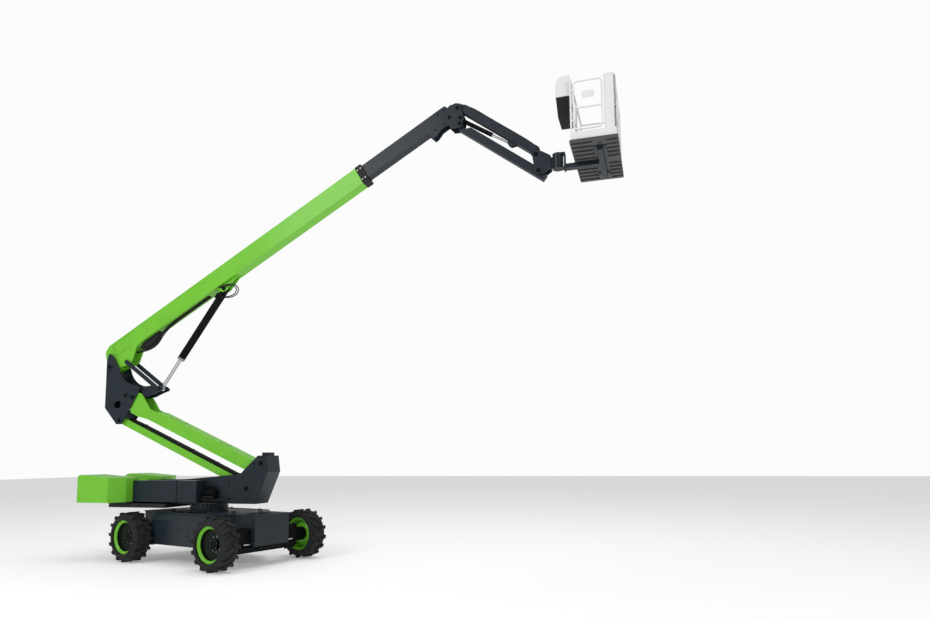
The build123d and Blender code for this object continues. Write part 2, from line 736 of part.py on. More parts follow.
# Tail hoods, open below, their tops sloping down to the front with a cut rear edge
with BuildPart() as hoods:
    for side in (-1, 1):
        with BuildSketch(level_plane(HOOD_BOTTOM)):
            Polygon(*hood_plan(side, 0.0), align=None)
        extrude(amount=HOOD_TOP_REAR - HOOD_BOTTOM)
    slab(
        TABLE,
        [
            (HOOD_REAR + 190.0, HOOD_TOP_REAR),
            (HOOD_FRONT + 1, HOOD_TOP_FRONT),
            (HOOD_FRONT + 1, HOOD_TOP_REAR + 1),
            (HOOD_REAR + 190.0, HOOD_TOP_REAR + 1),
        ],
        HOOD_OUT + 1,
        Mode.SUBTRACT,
    )
    slab(
        TABLE,
        [
            (HOOD_REAR - 1, HOOD_TOP_REAR - 95.0),
            (HOOD_REAR + 190.0, HOOD_TOP_REAR),
            (HOOD_REAR + 190.0, HOOD_TOP_REAR + 1),
            (HOOD_REAR - 1, HOOD_TOP_REAR + 1),
        ],
        HOOD_OUT + 1,
        Mode.SUBTRACT,
    )
    for side in (-1, 1):
        with BuildSketch(level_plane(HOOD_BOTTOM)):
            Polygon(*hood_plan(side, HOOD_WALL), align=None)
        extrude(amount=MASS_TOP + 20 - HOOD_BOTTOM, mode=Mode.SUBTRACT)
finish(hoods.part, "hoods")

# Side boxes along the turntable, with the ground control box at the near one's front end
with BuildPart() as side_boxes:
    for side in (-1, 1):
        inner = TABLE_HALF + SEAT_GAP
        box_plane = TABLE.offset(-side * (inner + SIDE_BOX_OUT) / 2)
        half = (SIDE_BOX_OUT - inner) / 2
        low_z = BASE_Z + BASE_PLATE + 5
        block(box_plane, (SIDE_BOX_REAR, low_z), (SIDE_BOX_FRONT, SIDE_BOX_TOP), half)
        wall = SIDE_BOX_WALL
        block(
            box_plane.offset(side * wall),
            (SIDE_BOX_REAR + wall, low_z + wall),
            (SIDE_BOX_FRONT - wall, SIDE_BOX_TOP - wall),
            half,
            Mode.SUBTRACT,
        )
finish(side_boxes.part, "side_boxes")

with BuildPart() as control_box:
    inner = TABLE_HALF + SEAT_GAP
    box_plane = TABLE.offset((inner + CONTROL_OUT) / 2)
    half = (CONTROL_OUT - inner) / 2
    control_rear = SIDE_BOX_FRONT + BOX_GAP
    low_z = BASE_Z + BASE_PLATE + 5
    block(box_plane, (control_rear, low_z), (CONTROL_FRONT, SIDE_BOX_TOP), half)
    wall = SIDE_BOX_WALL
    block(
        box_plane.offset(-wall),
        (control_rear + wall, low_z + wall),
        (CONTROL_FRONT - wall, SIDE_BOX_TOP - wall),
        half,
        Mode.SUBTRACT,
    )
finish(control_box.part, "control_box")

# Power pack: one plain mass inside the near hood's front and one inside the far hood's
with BuildPart() as power_pack:
    for side in (-1, 1):
        pack_in = HOOD_IN + HOOD_WALL + MASS_GAP
        pack_out = 640.0
        pack_plane = TABLE.offset(-side * (pack_in + pack_out) / 2)
        low = (MASS_FRONT + BOX_GAP, BASE_Z)
        high = (HOOD_FRONT - HOOD_WALL - MASS_GAP, MASS_TOP - 60.0)
        block(pack_plane, low, high, (pack_out - pack_in) / 2)
finish(power_pack.part, "power_pack")

# Riser boom: s from the upright's pin down to the turntable's pin
RISER = boom_plane(RISER_HEAD, RISER_FALL)
FORK_OUTLINE = [
    (-60.0, -60.0),
    (-30.0, 80.0),
    (110.0, 142.0),
    (170.0, 142.0),
    (406.0, 0.0),
    (500.0, FORK_DIP),
    (FORK_ROOT + 1, FORK_DIP),
    (FORK_ROOT + 1, RISER_BOTTOM),
    (560.0, RISER_BOTTOM),
    (286.0, -318.0),
    (84.0, -311.0),
]
RISER_END = RISER_RUN - 46.0

with BuildPart() as riser_boom:
    block(RISER, (FORK_ROOT, RISER_BOTTOM), (RISER_END, RISER_TOP), RISER_HALF)
    cheeks(RISER, FORK_OUTLINE, RISER_HALF, RISER_HALF - FORK_PLATE)
    slab(
        RISER,
        [
            (RISER_END - 100.0, RISER_TOP - 10),
            (RISER_END - 10.0, 60.0),
            (RISER_RUN, 88.0),
            (RISER_RUN + 75.0, 45.0),
            (RISER_RUN + 84.0, 0.0),
            (RISER_RUN + 64.0, -120.0),
            (RISER_END - 1, RISER_BOTTOM),
            (RISER_END - 200.0, RISER_BOTTOM),
        ],
        RISER_HALF,
    )
    block(
        RISER,
        (FORK_ROOT + RISER_WALL + 40.0, RISER_BOTTOM + RISER_WALL),
        (RISER_END - 30.0, RISER_TOP - RISER_WALL),
        RISER_HALF - RISER_WALL,
        Mode.SUBTRACT,
    )
    block(RISER, (300.0, RISER_BOTTOM), (FORK_ROOT + 1, RISER_BOTTOM + RISER_WALL), RISER_HALF - 1)
    rings(RISER, (0.0, 0.0), 85.0, RISER_HALF, RISER_HALF - FORK_PLATE)
    drum(RISER, (0.0, 0.0), PIN_R + PIN_PLAY, RISER_HALF + 1, Mode.SUBTRACT)
    drum(RISER, (RISER_RUN, 0.0), PIN_R + PIN_PLAY, RISER_HALF + 1, Mode.SUBTRACT)
finish(riser_boom.part, "riser_boom")

# Parallel link below the riser
LINK = boom_plane(LINK_HEAD, RISER_FALL)
LINK_LUG = 90.0
LINK_BOSS_R = 62.0


def link_lug(s, direction):
    """Lug from the link's box to a pin"""
    base = s + direction * LINK_LUG
    slab(
        LINK,
        [
            (s - direction * 40.0, -45.0),
            (s - direction * 40.0, 45.0),
            (base, LINK_TOP - 15.0),
            (base + direction * 30.0, LINK_TOP - 15.0),
            (base + direction * 30.0, LINK_BOTTOM),
            (base, LINK_BOTTOM),
        ],
        LINK_HALF,
    )
    drum(LINK, (s, 0.0), LINK_BOSS_R, CHEEK_IN - 5.0)


with BuildPart() as riser_link:
    block(LINK, (LINK_LUG, LINK_BOTTOM), (RISER_RUN - LINK_LUG, LINK_TOP), LINK_HALF)
    link_lug(0.0, 1.0)
    link_lug(RISER_RUN, -1.0)
    block(
        LINK,
        (LINK_LUG + 40.0, LINK_BOTTOM + LINK_WALL),
        (RISER_RUN - LINK_LUG - 40.0, LINK_TOP - LINK_WALL),
        LINK_HALF - LINK_WALL,
        Mode.SUBTRACT,
    )
    drum(LINK, (0.0, 0.0), PIN_R + OPEN_PLAY, CHEEK_IN, Mode.SUBTRACT)
    drum(LINK, (RISER_RUN, 0.0), PIN_R + PIN_PLAY, CHEEK_IN, Mode.SUBTRACT)
finish(riser_link.part, "riser_link")

# Hose tray on top of the link
with BuildPart() as link_hose_tray:
    tray_low = LINK_TOP + SEAT_GAP
    block(LINK, (150.0, tray_low), (RISER_RUN - 330.0, tray_low + HOSE_TRAY - 1), 0.7 * LINK_HALF)
finish(link_hose_tray.part, "link_hose_tray")

# Upright: two plates with a curved cut under the boom, a back web, and the pins
UPRIGHT = boom_plane((0.0, 0.0))
UPRIGHT_RIGHT = (-1640.0, 3440.0)
CUT_LOW = (-1760.0, 3515.0)
CUT_MID = (-2060.0, 3640.0)
CUT_HIGH = (-2200.0, 3890.0)


def upright_outline():
    with BuildLine() as border:
        edge = Polyline(
            CUT_HIGH,
            (-2370.0, 4160.0),
            (-2440.0, 4205.0),
            (-2480.0, 4190.0),
            (-2520.0, 4050.0),
            (-2520.0, 3050.0),
            (-2210.0, 2700.0),
            (-2080.0, 2700.0),
            (-1850.0, 3070.0),
            UPRIGHT_RIGHT,
            CUT_LOW,
        )
        ThreePointArc(CUT_LOW, CUT_MID, CUT_HIGH)
    make_face(border.line.edges())


with BuildPart() as upright:
    for plate in (UPRIGHT.offset(CHEEK_IN), UPRIGHT.offset(-CHEEK_OUT)):
        with BuildSketch(plate):
            upright_outline()
            with Locations((-2200.0, 3110.0)):
                Circle(85.0, mode=Mode.SUBTRACT)
        extrude(amount=CHEEK_OUT - CHEEK_IN)
    block(UPRIGHT, (-2520.0, 3060.0), (-2502.0, 3740.0), CHEEK_OUT - 1)
    for pin in (BOOM_PIVOT, ROCKER_PIVOT, LINK_HEAD):
        drum(UPRIGHT, pin, PIN_R, CHEEK_OUT + 8)
    rings(UPRIGHT, RISER_HEAD, PIN_R, CHEEK_OUT + 8, RISER_HALF - FORK_PLATE)
finish(upright.part, "upright")

# Rocker: two horn-shaped plates from the upright to the lift rod's eye and the tie bars
ROCKER_OUTLINE = [
    (-2050.0, 3250.0),
    (-2055.0, 3340.0),
    (-2000.0, 3368.0),
    (-1700.0, 3475.0),
    (-1350.0, 3498.0),
    (-1190.0, 3478.0),
    (-1125.0, 3420.0),
    (-1150.0, 3385.0),
    (-1270.0, 3350.0),
    (-1480.0, 3265.0),
    (-1700.0, 3250.0),
    (-2000.0, 3232.0),
]
with BuildPart() as rocker:
    cheeks(UPRIGHT, ROCKER_OUTLINE, ROCKER_OUT, ROCKER_OUT - ROCKER_PLATE)
    slab(
        UPRIGHT,
        [(-1900.0, 3300.0), (-1900.0, 3370.0), (-1560.0, 3440.0), (-1560.0, 3300.0)],
        ROCKER_OUT - 1,
    )
    drum(UPRIGHT, ROCKER_PIVOT, 62.0, CHEEK_IN - 5.0)
    rings(UPRIGHT, ROCKER_TIP, 44.0, ROCKER_OUT - 1, LUG_IN)
    rings(UPRIGHT, ROCKER_TIP, 30.0, TIE_OUT + 6, ROCKER_OUT - 2)
    drum(UPRIGHT, ROCKER_PIVOT, PIN_R + PIN_PLAY, CHEEK_IN, Mode.SUBTRACT)
finish(rocker.part, "rocker")

# Tie bars from the rocker's tip to the boom's heel
BOOM = boom_plane(BOOM_PIVOT, BOOM_ANGLE)
COS_B = cos(radians(BOOM_ANGLE))
SIN_B = sin(radians(BOOM_ANGLE))


def boom_point(s, t):
    """A point of the main boom, as a distance along and above the turntable"""
    return (BOOM_PIVOT[0] + s * COS_B - t * SIN_B, BOOM_PIVOT[1] + s * SIN_B + t * COS_B)


TIE_TOP = boom_point(*TIE_PIN)
TIE_RUN = hypot(TIE_TOP[0] - ROCKER_TIP[0], TIE_TOP[1] - ROCKER_TIP[1])
TIE_ANGLE = degrees(atan2(TIE_TOP[1] - ROCKER_TIP[1], TIE_TOP[0] - ROCKER_TIP[0]))
TIE = boom_plane(ROCKER_TIP, TIE_ANGLE)
with BuildPart() as tie_bars:
    cheeks(TIE, [(0, -TIE_HALF), (TIE_RUN, -TIE_HALF), (TIE_RUN, TIE_HALF), (0, TIE_HALF)], TIE_OUT, TIE_IN)
    for end in ((0.0, 0.0), (TIE_RUN, 0.0)):
        rings(TIE, end, TIE_HALF, TIE_OUT, TIE_IN)
    drum(TIE, (0.0, 0.0), 30.0 + PIN_PLAY, TIE_OUT + 1, Mode.SUBTRACT)
finish(tie_bars.part, "tie_bars")

# Main boom: a box from heel to mouth, a heel with its lobe, and the lift cylinder's lugs
HEEL_OUTLINE = [
    (-75.0, 75.0),
    (-18.0, 325.0),
    (20.0, 385.0),
    (147.0, BOOM_TOP),
    (420.0, BOOM_TOP),
    (920.0, BOOM_BOTTOM),
    (753.0, 68.0),
    (500.0, -150.0),
    (400.0, -162.0),
    (159.0, -115.0),
    (0.0, -105.0),
    (-100.0, -30.0),
]
with BuildPart() as main_boom:
    block(BOOM, (BOOM_BOX_START, BOOM_BOTTOM), (BOOM_MOUTH, BOOM_TOP), BOOM_HALF)
    slab(BOOM, HEEL_OUTLINE, BOOM_HALF)
    block(
        BOOM,
        (BOOM_BOX_START + 120.0, BOOM_BOTTOM + BOOM_WALL),
        (BOOM_MOUTH + 1, BOOM_TOP - BOOM_WALL),
        BOOM_HALF - BOOM_WALL,
        Mode.SUBTRACT,
    )
    slab(
        BOOM,
        [(130.0, -200.0), (130.0, 60.0), (200.0, 80.0), (930.0, 80.0), (930.0, -200.0)],
        BOOM_HALF - 23.0,
        Mode.SUBTRACT,
    )
    drum(BOOM, (0.0, 0.0), 70.0, CHEEK_IN - 5.0)
    drum(BOOM, (0.0, 0.0), PIN_R + PIN_PLAY, CHEEK_IN, Mode.SUBTRACT)
    cheeks(
        BOOM,
        [(2930.0, BOOM_BOTTOM + 1), (3030.0, -35.0), (3140.0, -45.0), (3520.0, BOOM_BOTTOM + 1)],
        LUG_IN + LUG_PLATE,
        LUG_IN,
    )
    drum(BOOM, LIFT_PIN, 30.0, LUG_IN + LUG_PLATE + 8)
finish(main_boom.part, "main_boom")

# Collar with slide pads at the boom's mouth, and the hose guard under its heel
with BuildPart() as boom_collar:
    collar_end = BOOM_MOUTH + COLLAR_LIP
    outer = BOOM_HALF + COLLAR_LIP
    inner = EXT_HALF + SLIDE_GAP
    block(
        BOOM,
        (BOOM_MOUTH - COLLAR_LENGTH, BOOM_BOTTOM - COLLAR_LIP),
        (collar_end, BOOM_TOP + COLLAR_LIP),
        outer,
    )
    block(
        BOOM,
        (BOOM_MOUTH - COLLAR_LENGTH - 1, BOOM_BOTTOM - SEAT_GAP),
        (BOOM_MOUTH + SEAT_GAP, BOOM_TOP + SEAT_GAP),
        BOOM_HALF + SEAT_GAP,
        Mode.SUBTRACT,
    )
    block(
        BOOM,
        (BOOM_MOUTH - COLLAR_LENGTH, BOOM_BOTTOM + BOOM_WALL + SEAT_GAP),
        (BOOM_MOUTH + SEAT_GAP + 1, BOOM_TOP - BOOM_WALL - SEAT_GAP),
        BOOM_HALF - BOOM_WALL - SEAT_GAP,
    )
    block(
        BOOM,
        (BOOM_MOUTH - COLLAR_LENGTH - 1, EXT_BOTTOM - SLIDE_GAP),
        (collar_end + 1, EXT_TOP + SLIDE_GAP),
        inner,
        Mode.SUBTRACT,
    )
    # Hose guard that hangs under the boom behind its heel
    slab(
        BOOM,
        [
            (760.0, 20.0),
            (800.0, -30.0),
            (966.0, -67.0),
            (1150.0, -45.0),
            (1257.0, 2.0),
            (1340.0, BOOM_BOTTOM - SEAT_GAP),
            (940.0, BOOM_BOTTOM - SEAT_GAP),
            (860.0, 66.0),
        ],
        60.0,
    )
finish(boom_collar.part, "boom_collar")

# Extension with a slide pad at its inner end and two lugs for the jib head
with BuildPart() as extension_boom:
    block(BOOM, (EXT_START, EXT_BOTTOM), (EXT_BOX_END, EXT_TOP), EXT_HALF)
    cheeks(
        BOOM,
        [
            (EXT_BOX_END - 235.0, EXT_BOTTOM + 20),
            (EXT_BOX_END - 183.0, 8.0),
            (EXT_BOX_END - 120.0, 12.0),
            (EXT_BOX_END + 20.0, 70.0),
            (JIB_PIVOT[0] - 52.0, 72.0),
            (JIB_PIVOT[0] + 48.0, 75.0),
            (JIB_PIVOT[0] + 93.0, 150.0),
            (JIB_PIVOT[0] + 83.0, 340.0),
            (JIB_PIVOT[0] + 28.0, EXT_TOP),
            (EXT_BOX_END - 235.0, EXT_TOP),
        ],
        EXT_HALF,
        EXT_HALF - 26.0,
    )
    block(
        BOOM,
        (EXT_START, BOOM_BOTTOM + BOOM_WALL + SLIDE_GAP),
        (EXT_START + PAD_LENGTH, BOOM_TOP - BOOM_WALL - SLIDE_GAP),
        BOOM_HALF - BOOM_WALL - SLIDE_GAP,
    )
    block(
        BOOM,
        (EXT_START - 1, EXT_BOTTOM + EXT_WALL),
        (EXT_BOX_END + 1, EXT_TOP - EXT_WALL),
        EXT_HALF - EXT_WALL,
        Mode.SUBTRACT,
    )
    block(BOOM, (EXT_BOX_END - 20, EXT_BOTTOM + 1), (EXT_BOX_END, EXT_TOP - 1), EXT_HALF - 1)
    drum(BOOM, JIB_PIVOT, 36.0 + PIN_PLAY, EXT_HALF + 1, Mode.SUBTRACT)
finish(extension_boom.part, "extension_boom")

# Lift cylinder from the boom's lugs down to the rocker's tip
LIFT_TOP = boom_point(*LIFT_PIN)
LIFT_RUN = hypot(ROCKER_TIP[0] - LIFT_TOP[0], ROCKER_TIP[1] - LIFT_TOP[1])
LIFT_ANGLE = degrees(atan2(ROCKER_TIP[1] - LIFT_TOP[1], ROCKER_TIP[0] - LIFT_TOP[0]))
LIFT = boom_plane(LIFT_TOP, LIFT_ANGLE)


def round_bar(point, angle, start, end, radius, mode=Mode.ADD):
    """Round bar in line with a direction in the booms' plane"""
    direction = (cos(radians(angle)), 0, sin(radians(angle)))
    origin = (SLEW_X + point[0] + start * direction[0], SLEW_Y, point[1] + start * direction[2])
    with BuildSketch(Plane(origin=origin, x_dir=(0, 1, 0), z_dir=direction)) as sketch:
        Circle(radius)
    extrude(sketch.sketch, amount=end - start, mode=mode)


with BuildPart() as lift_barrel:
    round_bar(LIFT_TOP, LIFT_ANGLE, LIFT_BARREL_START, LIFT_BARREL_LENGTH, LIFT_BARREL_R)
    round_bar(LIFT_TOP, LIFT_ANGLE, 140.0, LIFT_BARREL_LENGTH + 1, LIFT_ROD_R + SLIDE_GAP, Mode.SUBTRACT)
    block(LIFT, (0.0, -LIFT_EYE_R), (LIFT_BARREL_START + 20.0, LIFT_EYE_R), EYE_HALF)
    drum(LIFT, (0.0, 0.0), LIFT_EYE_R, EYE_HALF)
    drum(LIFT, (0.0, 0.0), 30.0 + PIN_PLAY, EYE_HALF + 1, Mode.SUBTRACT)
finish(lift_barrel.part, "lift_barrel")

with BuildPart() as lift_rod:
    round_bar(LIFT_TOP, LIFT_ANGLE, 900.0, LIFT_RUN - 30.0, LIFT_ROD_R)
    drum(LIFT, (LIFT_RUN, 0.0), 44.0, EYE_HALF)
    drum(LIFT, (LIFT_RUN, 0.0), 30.0, EYE_HALF + 1, Mode.SUBTRACT)
finish(lift_rod.part, "lift_rod")

# Jib head: two plates joined by the pins of the extension, the jib and its cylinder
JIB_HINGE = boom_point(*JIB_PIVOT)
HEAD = boom_plane((0.0, 0.0))
HEAD_OUTLINE = [
    (5030.0, 8330.0),
    (5045.0, 8420.0),
    (5115.0, 8555.0),
    (5250.0, 8590.0),
    (5335.0, 8570.0),
    (5365.0, 8400.0),
    (5405.0, 8300.0),
    (5385.0, 8190.0),
    (5345.0, 8105.0),
    (5170.0, 8105.0),
    (5060.0, 8230.0),
]
with BuildPart() as jib_head:
    cheeks(HEAD, HEAD_OUTLINE, HEAD_OUT, HEAD_IN)
    for pin, pin_r in ((JIB_HINGE, 36.0), (JIB_UPPER, JIB_PIN_R), (JIB_LOWER, JIB_PIN_R), (JIB_CYLINDER_FOOT, JIB_PIN_R)):
        drum(HEAD, pin, pin_r, HEAD_OUT + 6)
finish(jib_head.part, "jib_head")

# Upper jib arm with the jib cylinder's bracket
UPPER = boom_plane(JIB_UPPER, JIB_ANGLE)
with BuildPart() as jib_upper_arm:
    slab(
        UPPER,
        [
            (-45.0, -35.0),
            (-60.0, 45.0),
            (-20.0, 105.0),
            (100.0, JIB_UPPER_TOP),
            (JIB_RUN - 40.0, JIB_UPPER_TOP),
            (JIB_RUN + 20.0, 95.0),
            (JIB_RUN + 48.0, 0.0),
            (JIB_RUN + 20.0, -48.0),
            (JIB_RUN - 40.0, -48.0),
            (JIB_RUN - 160.0, JIB_UPPER_BOTTOM),
            (130.0, JIB_UPPER_BOTTOM),
            (30.0, -45.0),
        ],
        JIB_UPPER_HALF,
    )
    block(
        UPPER,
        (110.0, JIB_UPPER_BOTTOM + JIB_WALL),
        (JIB_RUN - 100.0, JIB_UPPER_TOP - JIB_WALL),
        JIB_UPPER_HALF - JIB_WALL,
        Mode.SUBTRACT,
    )
    for slot_start, slot_end, slot_half in ((130.0, 1150.0, JIB_BARREL_R + 8.0), (1150.0, 1420.0, JIB_LUG_IN)):
        slot_low = (slot_start, JIB_UPPER_BOTTOM - 1)
        block(UPPER, slot_low, (slot_end, JIB_UPPER_BOTTOM + JIB_WALL + 1), slot_half, Mode.SUBTRACT)
    cheeks(
        UPPER,
        [(1180.0, JIB_UPPER_BOTTOM + 1), (1225.0, -75.0), (1270.0, -92.0), (1325.0, -85.0), (1390.0, JIB_UPPER_BOTTOM + 1)],
        JIB_LUG_IN + JIB_LUG_PLATE,
        JIB_LUG_IN,
    )
    for pin_s in (0.0, JIB_RUN):
        drum(UPPER, (pin_s, 0.0), JIB_PIN_R + PIN_PLAY, JIB_UPPER_HALF + 1, Mode.SUBTRACT)
finish(jib_upper_arm.part, "jib_upper_arm")

# Lower jib arm: a channel, open above, that the jib cylinder dips into
LOWER = boom_plane(JIB_LOWER, JIB_ANGLE)
LOWER_END = JIB_RUN + 160.0
with BuildPart() as jib_lower_arm:
    slab(
        LOWER,
        [
            (-50.0, -45.0),
            (-50.0, 30.0),
            (-25.0, 50.0),
            (25.0, 50.0),
            (60.0, 20.0),
            (80.0, -14.0),
            (140.0, -14.0),
            (215.0, JIB_LOWER_TOP),
            (LOWER_END - 40.0, JIB_LOWER_TOP),
            (LOWER_END, 20.0),
            (LOWER_END, JIB_LOWER_BOTTOM),
            (40.0, JIB_LOWER_BOTTOM),
        ],
        JIB_LOWER_HALF,
    )
    block(
        LOWER,
        (-60.0, JIB_LOWER_BOTTOM + 2 * JIB_WALL),
        (JIB_RUN - 80.0, JIB_LOWER_TOP + 1),
        JIB_LOWER_HALF - 2 * JIB_WALL,
        Mode.SUBTRACT,
    )
    for pin_s in (0.0, JIB_RUN):
        drum(LOWER, (pin_s, 0.0), JIB_PIN_R + PIN_PLAY, JIB_LOWER_HALF + 1, Mode.SUBTRACT)
finish(jib_lower_arm.part, "jib_lower_arm")

# Jib cylinder from the head to the upper arm's bracket
COS_J = cos(radians(JIB_ANGLE))
SIN_J = sin(radians(JIB_ANGLE))
JIB_ROD_END = (
    JIB_UPPER[0] + JIB_CYLINDER_HEAD[0] * COS_J - JIB_CYLINDER_HEAD[1] * SIN_J,
    JIB_UPPER[1] + JIB_CYLINDER_HEAD[0] * SIN_J + JIB_CYLINDER_HEAD[1] * COS_J,
)
JIB_LIFT_RUN = hypot(JIB_ROD_END[0] - JIB_CYLINDER_FOOT[0], JIB_ROD_END[1] - JIB_CYLINDER_FOOT[1])
JIB_LIFT_ANGLE = degrees(atan2(JIB_ROD_END[1] - JIB_CYLINDER_FOOT[1], JIB_ROD_END[0] - JIB_CYLINDER_FOOT[0]))
JIB_LIFT = boom_plane(JIB_CYLINDER_FOOT, JIB_LIFT_ANGLE)
JIB_EYE_HALF = 26.0
with BuildPart() as jib_barrel:
    round_bar(JIB_CYLINDER_FOOT, JIB_LIFT_ANGLE, 55.0, JIB_BARREL_LENGTH, JIB_BARREL_R)
    round_bar(JIB_CYLINDER_FOOT, JIB_LIFT_ANGLE, 75.0, JIB_BARREL_LENGTH + 1, JIB_ROD_R + SLIDE_GAP, Mode.SUBTRACT)
    block(JIB_LIFT, (0.0, -36.0), (70.0, 36.0), JIB_EYE_HALF)
    drum(JIB_LIFT, (0.0, 0.0), 40.0, JIB_EYE_HALF)
    drum(JIB_LIFT, (0.0, 0.0), JIB_PIN_R + PIN_PLAY, JIB_EYE_HALF + 1, Mode.SUBTRACT)
finish(jib_barrel.part, "jib_barrel")

with BuildPart() as jib_rod:
    round_bar(JIB_CYLINDER_FOOT, JIB_LIFT_ANGLE, 400.0, JIB_LIFT_RUN - 20.0, JIB_ROD_R)
    drum(JIB_LIFT, (JIB_LIFT_RUN, 0.0), 36.0, JIB_EYE_HALF)
    drum(JIB_LIFT, (JIB_LIFT_RUN, 0.0), 18.0, JIB_EYE_HALF + 1, Mode.SUBTRACT)
finish(jib_rod.part, "jib_rod")

# Bracket at the jib's end, with the housing that the platform turns in
JIB_UPPER_END = (JIB_UPPER[0] + JIB_RUN * COS_J, JIB_UPPER[1] + JIB_RUN * SIN_J)
JIB_LOWER_END = (JIB_LOWER[0] + JIB_RUN * COS_J, JIB_LOWER[1] + JIB_RUN * SIN_J)
with BuildPart() as jib_end_bracket:
    cheeks(
        HEAD,
        [
            (6675.0, 7360.0),
            (6690.0, 7440.0),
            (6750.0, 7465.0),
            (6850.0, 7430.0),
            (END_WEB_X + END_WEB, 7330.0),
            (END_WEB_X + END_WEB, 7100.0),
            (6870.0, 7010.0),
            (6760.0, 7010.0),
            (6710.0, 7080.0),
        ],
        END_OUT,
        END_IN,
    )
    block(HEAD, (END_WEB_X, 7105.0), (END_WEB_X + END_WEB, 7325.0), END_OUT - 1)
    for pin in (JIB_UPPER_END, JIB_LOWER_END):
        drum(HEAD, pin, JIB_PIN_R, END_OUT + 6)
    block(HEAD, (END_WEB_X + END_WEB - 1, ROTATOR_LOW + 30), (ROTATOR_X - 60.0, ROTATOR_HIGH - 45), 60.0)
    with BuildSketch(level_plane(ROTATOR_LOW)):
        with Locations((ROTATOR_X, 0.0)):
            Circle(ROTATOR_R)
    extrude(amount=ROTATOR_HIGH - ROTATOR_LOW)
    with BuildSketch(level_plane(ROTATOR_LOW - 1)):
        with Locations((ROTATOR_X, 0.0)):
            Circle(ROTATOR_PIN_R + PIN_PLAY)
    extrude(amount=ROTATOR_HIGH - ROTATOR_LOW + 2, mode=Mode.SUBTRACT)
finish(jib_end_bracket.part, "jib_end_bracket")

# Platform support: a yoke over and under the housing, a beam to the floor and a cross beam
YOKE_GAP = 2.0
YOKE_THICK = 20.0
YOKE_BACK = ROTATOR_X + ROTATOR_R + 20.0
with BuildPart() as platform_support:
    yoke_low = ROTATOR_LOW - YOKE_GAP - YOKE_THICK
    yoke_high = ROTATOR_HIGH + YOKE_GAP
    for yoke_z in (yoke_low, yoke_high):
        with BuildSketch(level_plane(yoke_z)):
            with Locations((ROTATOR_X, 0.0)):
                Circle(ROTATOR_R)
            with Locations(((ROTATOR_X + YOKE_BACK) / 2, 0.0)):
                Rectangle(YOKE_BACK - ROTATOR_X, 1.6 * ROTATOR_R)
        extrude(amount=YOKE_THICK)
    with BuildSketch(level_plane(yoke_low)):
        with Locations((ROTATOR_X, 0.0)):
            Circle(ROTATOR_PIN_R)
    extrude(amount=yoke_high + YOKE_THICK - yoke_low)
    back_high = (YOKE_BACK + 22.0, yoke_high + YOKE_THICK)
    block(HEAD, (YOKE_BACK - 1, yoke_low - 40.0), back_high, 0.8 * ROTATOR_R)
    beam_top = FLOOR_Z - SEAT_GAP
    block(HEAD, (YOKE_BACK, beam_top - BEAM_HEIGHT), (CROSS_X1 - 5, beam_top), BEAM_HALF)
    block(HEAD, (CROSS_X0, beam_top - BEAM_HEIGHT), (CROSS_X1, beam_top), CROSS_HALF)
    for side in (-1, 1):
        foot_plane = HEAD.offset(-side * (CROSS_HALF - 60.0))
        block(foot_plane, (CROSS_X0 - 60.0, beam_top - 16.0), (CROSS_X1 + 60.0, beam_top), 60.0)
finish(platform_support.part, "platform_support")

# Platform floor: a plate with a rim and ribs below
with BuildPart() as platform_floor:
    floor_mid = (FLOOR_X0 + FLOOR_X1) / 2
    floor_length = FLOOR_X1 - FLOOR_X0
    with BuildSketch(level_plane(FLOOR_Z)):
        with Locations((floor_mid, 0.0)):
            RectangleRounded(floor_length, 2 * FLOOR_HALF, FLOOR_CORNER)
    extrude(amount=FLOOR_RIM)
    with BuildSketch(level_plane(FLOOR_Z + FLOOR_PLATE)):
        with Locations((floor_mid, 0.0)):
            inner_length = floor_length - 2 * FLOOR_RIM_WIDTH
            inner_width = 2 * (FLOOR_HALF - FLOOR_RIM_WIDTH)
            RectangleRounded(inner_length, inner_width, FLOOR_CORNER - FLOOR_RIM_WIDTH)
    extrude(amount=FLOOR_RIM, mode=Mode.SUBTRACT)
    for k in range(FLOOR_RIBS):
        rib_y = -FLOOR_HALF + FLOOR_CORNER + 2 * (FLOOR_HALF - FLOOR_CORNER) * (k + 0.5) / FLOOR_RIBS
        if abs(rib_y) < BEAM_HALF + RIB_HALF:
            continue
        rib_plane = boom_plane((0.0, 0.0), 0.0, rib_y)
        for rib_x in ((FLOOR_X0 + 15.0, CROSS_X0 - 62.0), (CROSS_X1 + 62.0, FLOOR_X1 - 15.0)):
            block(rib_plane, (rib_x[0], FLOOR_Z - RIB_DEPTH), (rib_x[1], FLOOR_Z + 1), RIB_HALF)
finish(platform_floor.part, "platform_floor")


def rail(points, radius=RAIL_R, corner=0.0):
    """Round tube along straight runs, with arcs of one radius at the corners if one is given"""
    world = [(SLEW_X + x, SLEW_Y + y, z) for x, y, z in points]
    with BuildLine() as path:
        if corner > 0.0 and len(world) > 2:
            FilletPolyline(*world, radius=corner)
        else:
            Polyline(*world)
    start = path.line @ 0
    heading = path.line % 0
    with BuildSketch(Plane(origin=start, z_dir=heading)) as sketch:
        Circle(radius)
    sweep(sketch.sketch, path=path.line)


RAIL_IN = 39.0
RAIL_X0 = FLOOR_X0 + RAIL_IN
RAIL_X1 = FLOOR_X1 - RAIL_IN
RAIL_Y = FLOOR_HALF - RAIL_IN
RAIL_BASE = FLOOR_Z + FLOOR_PLATE + SEAT_GAP

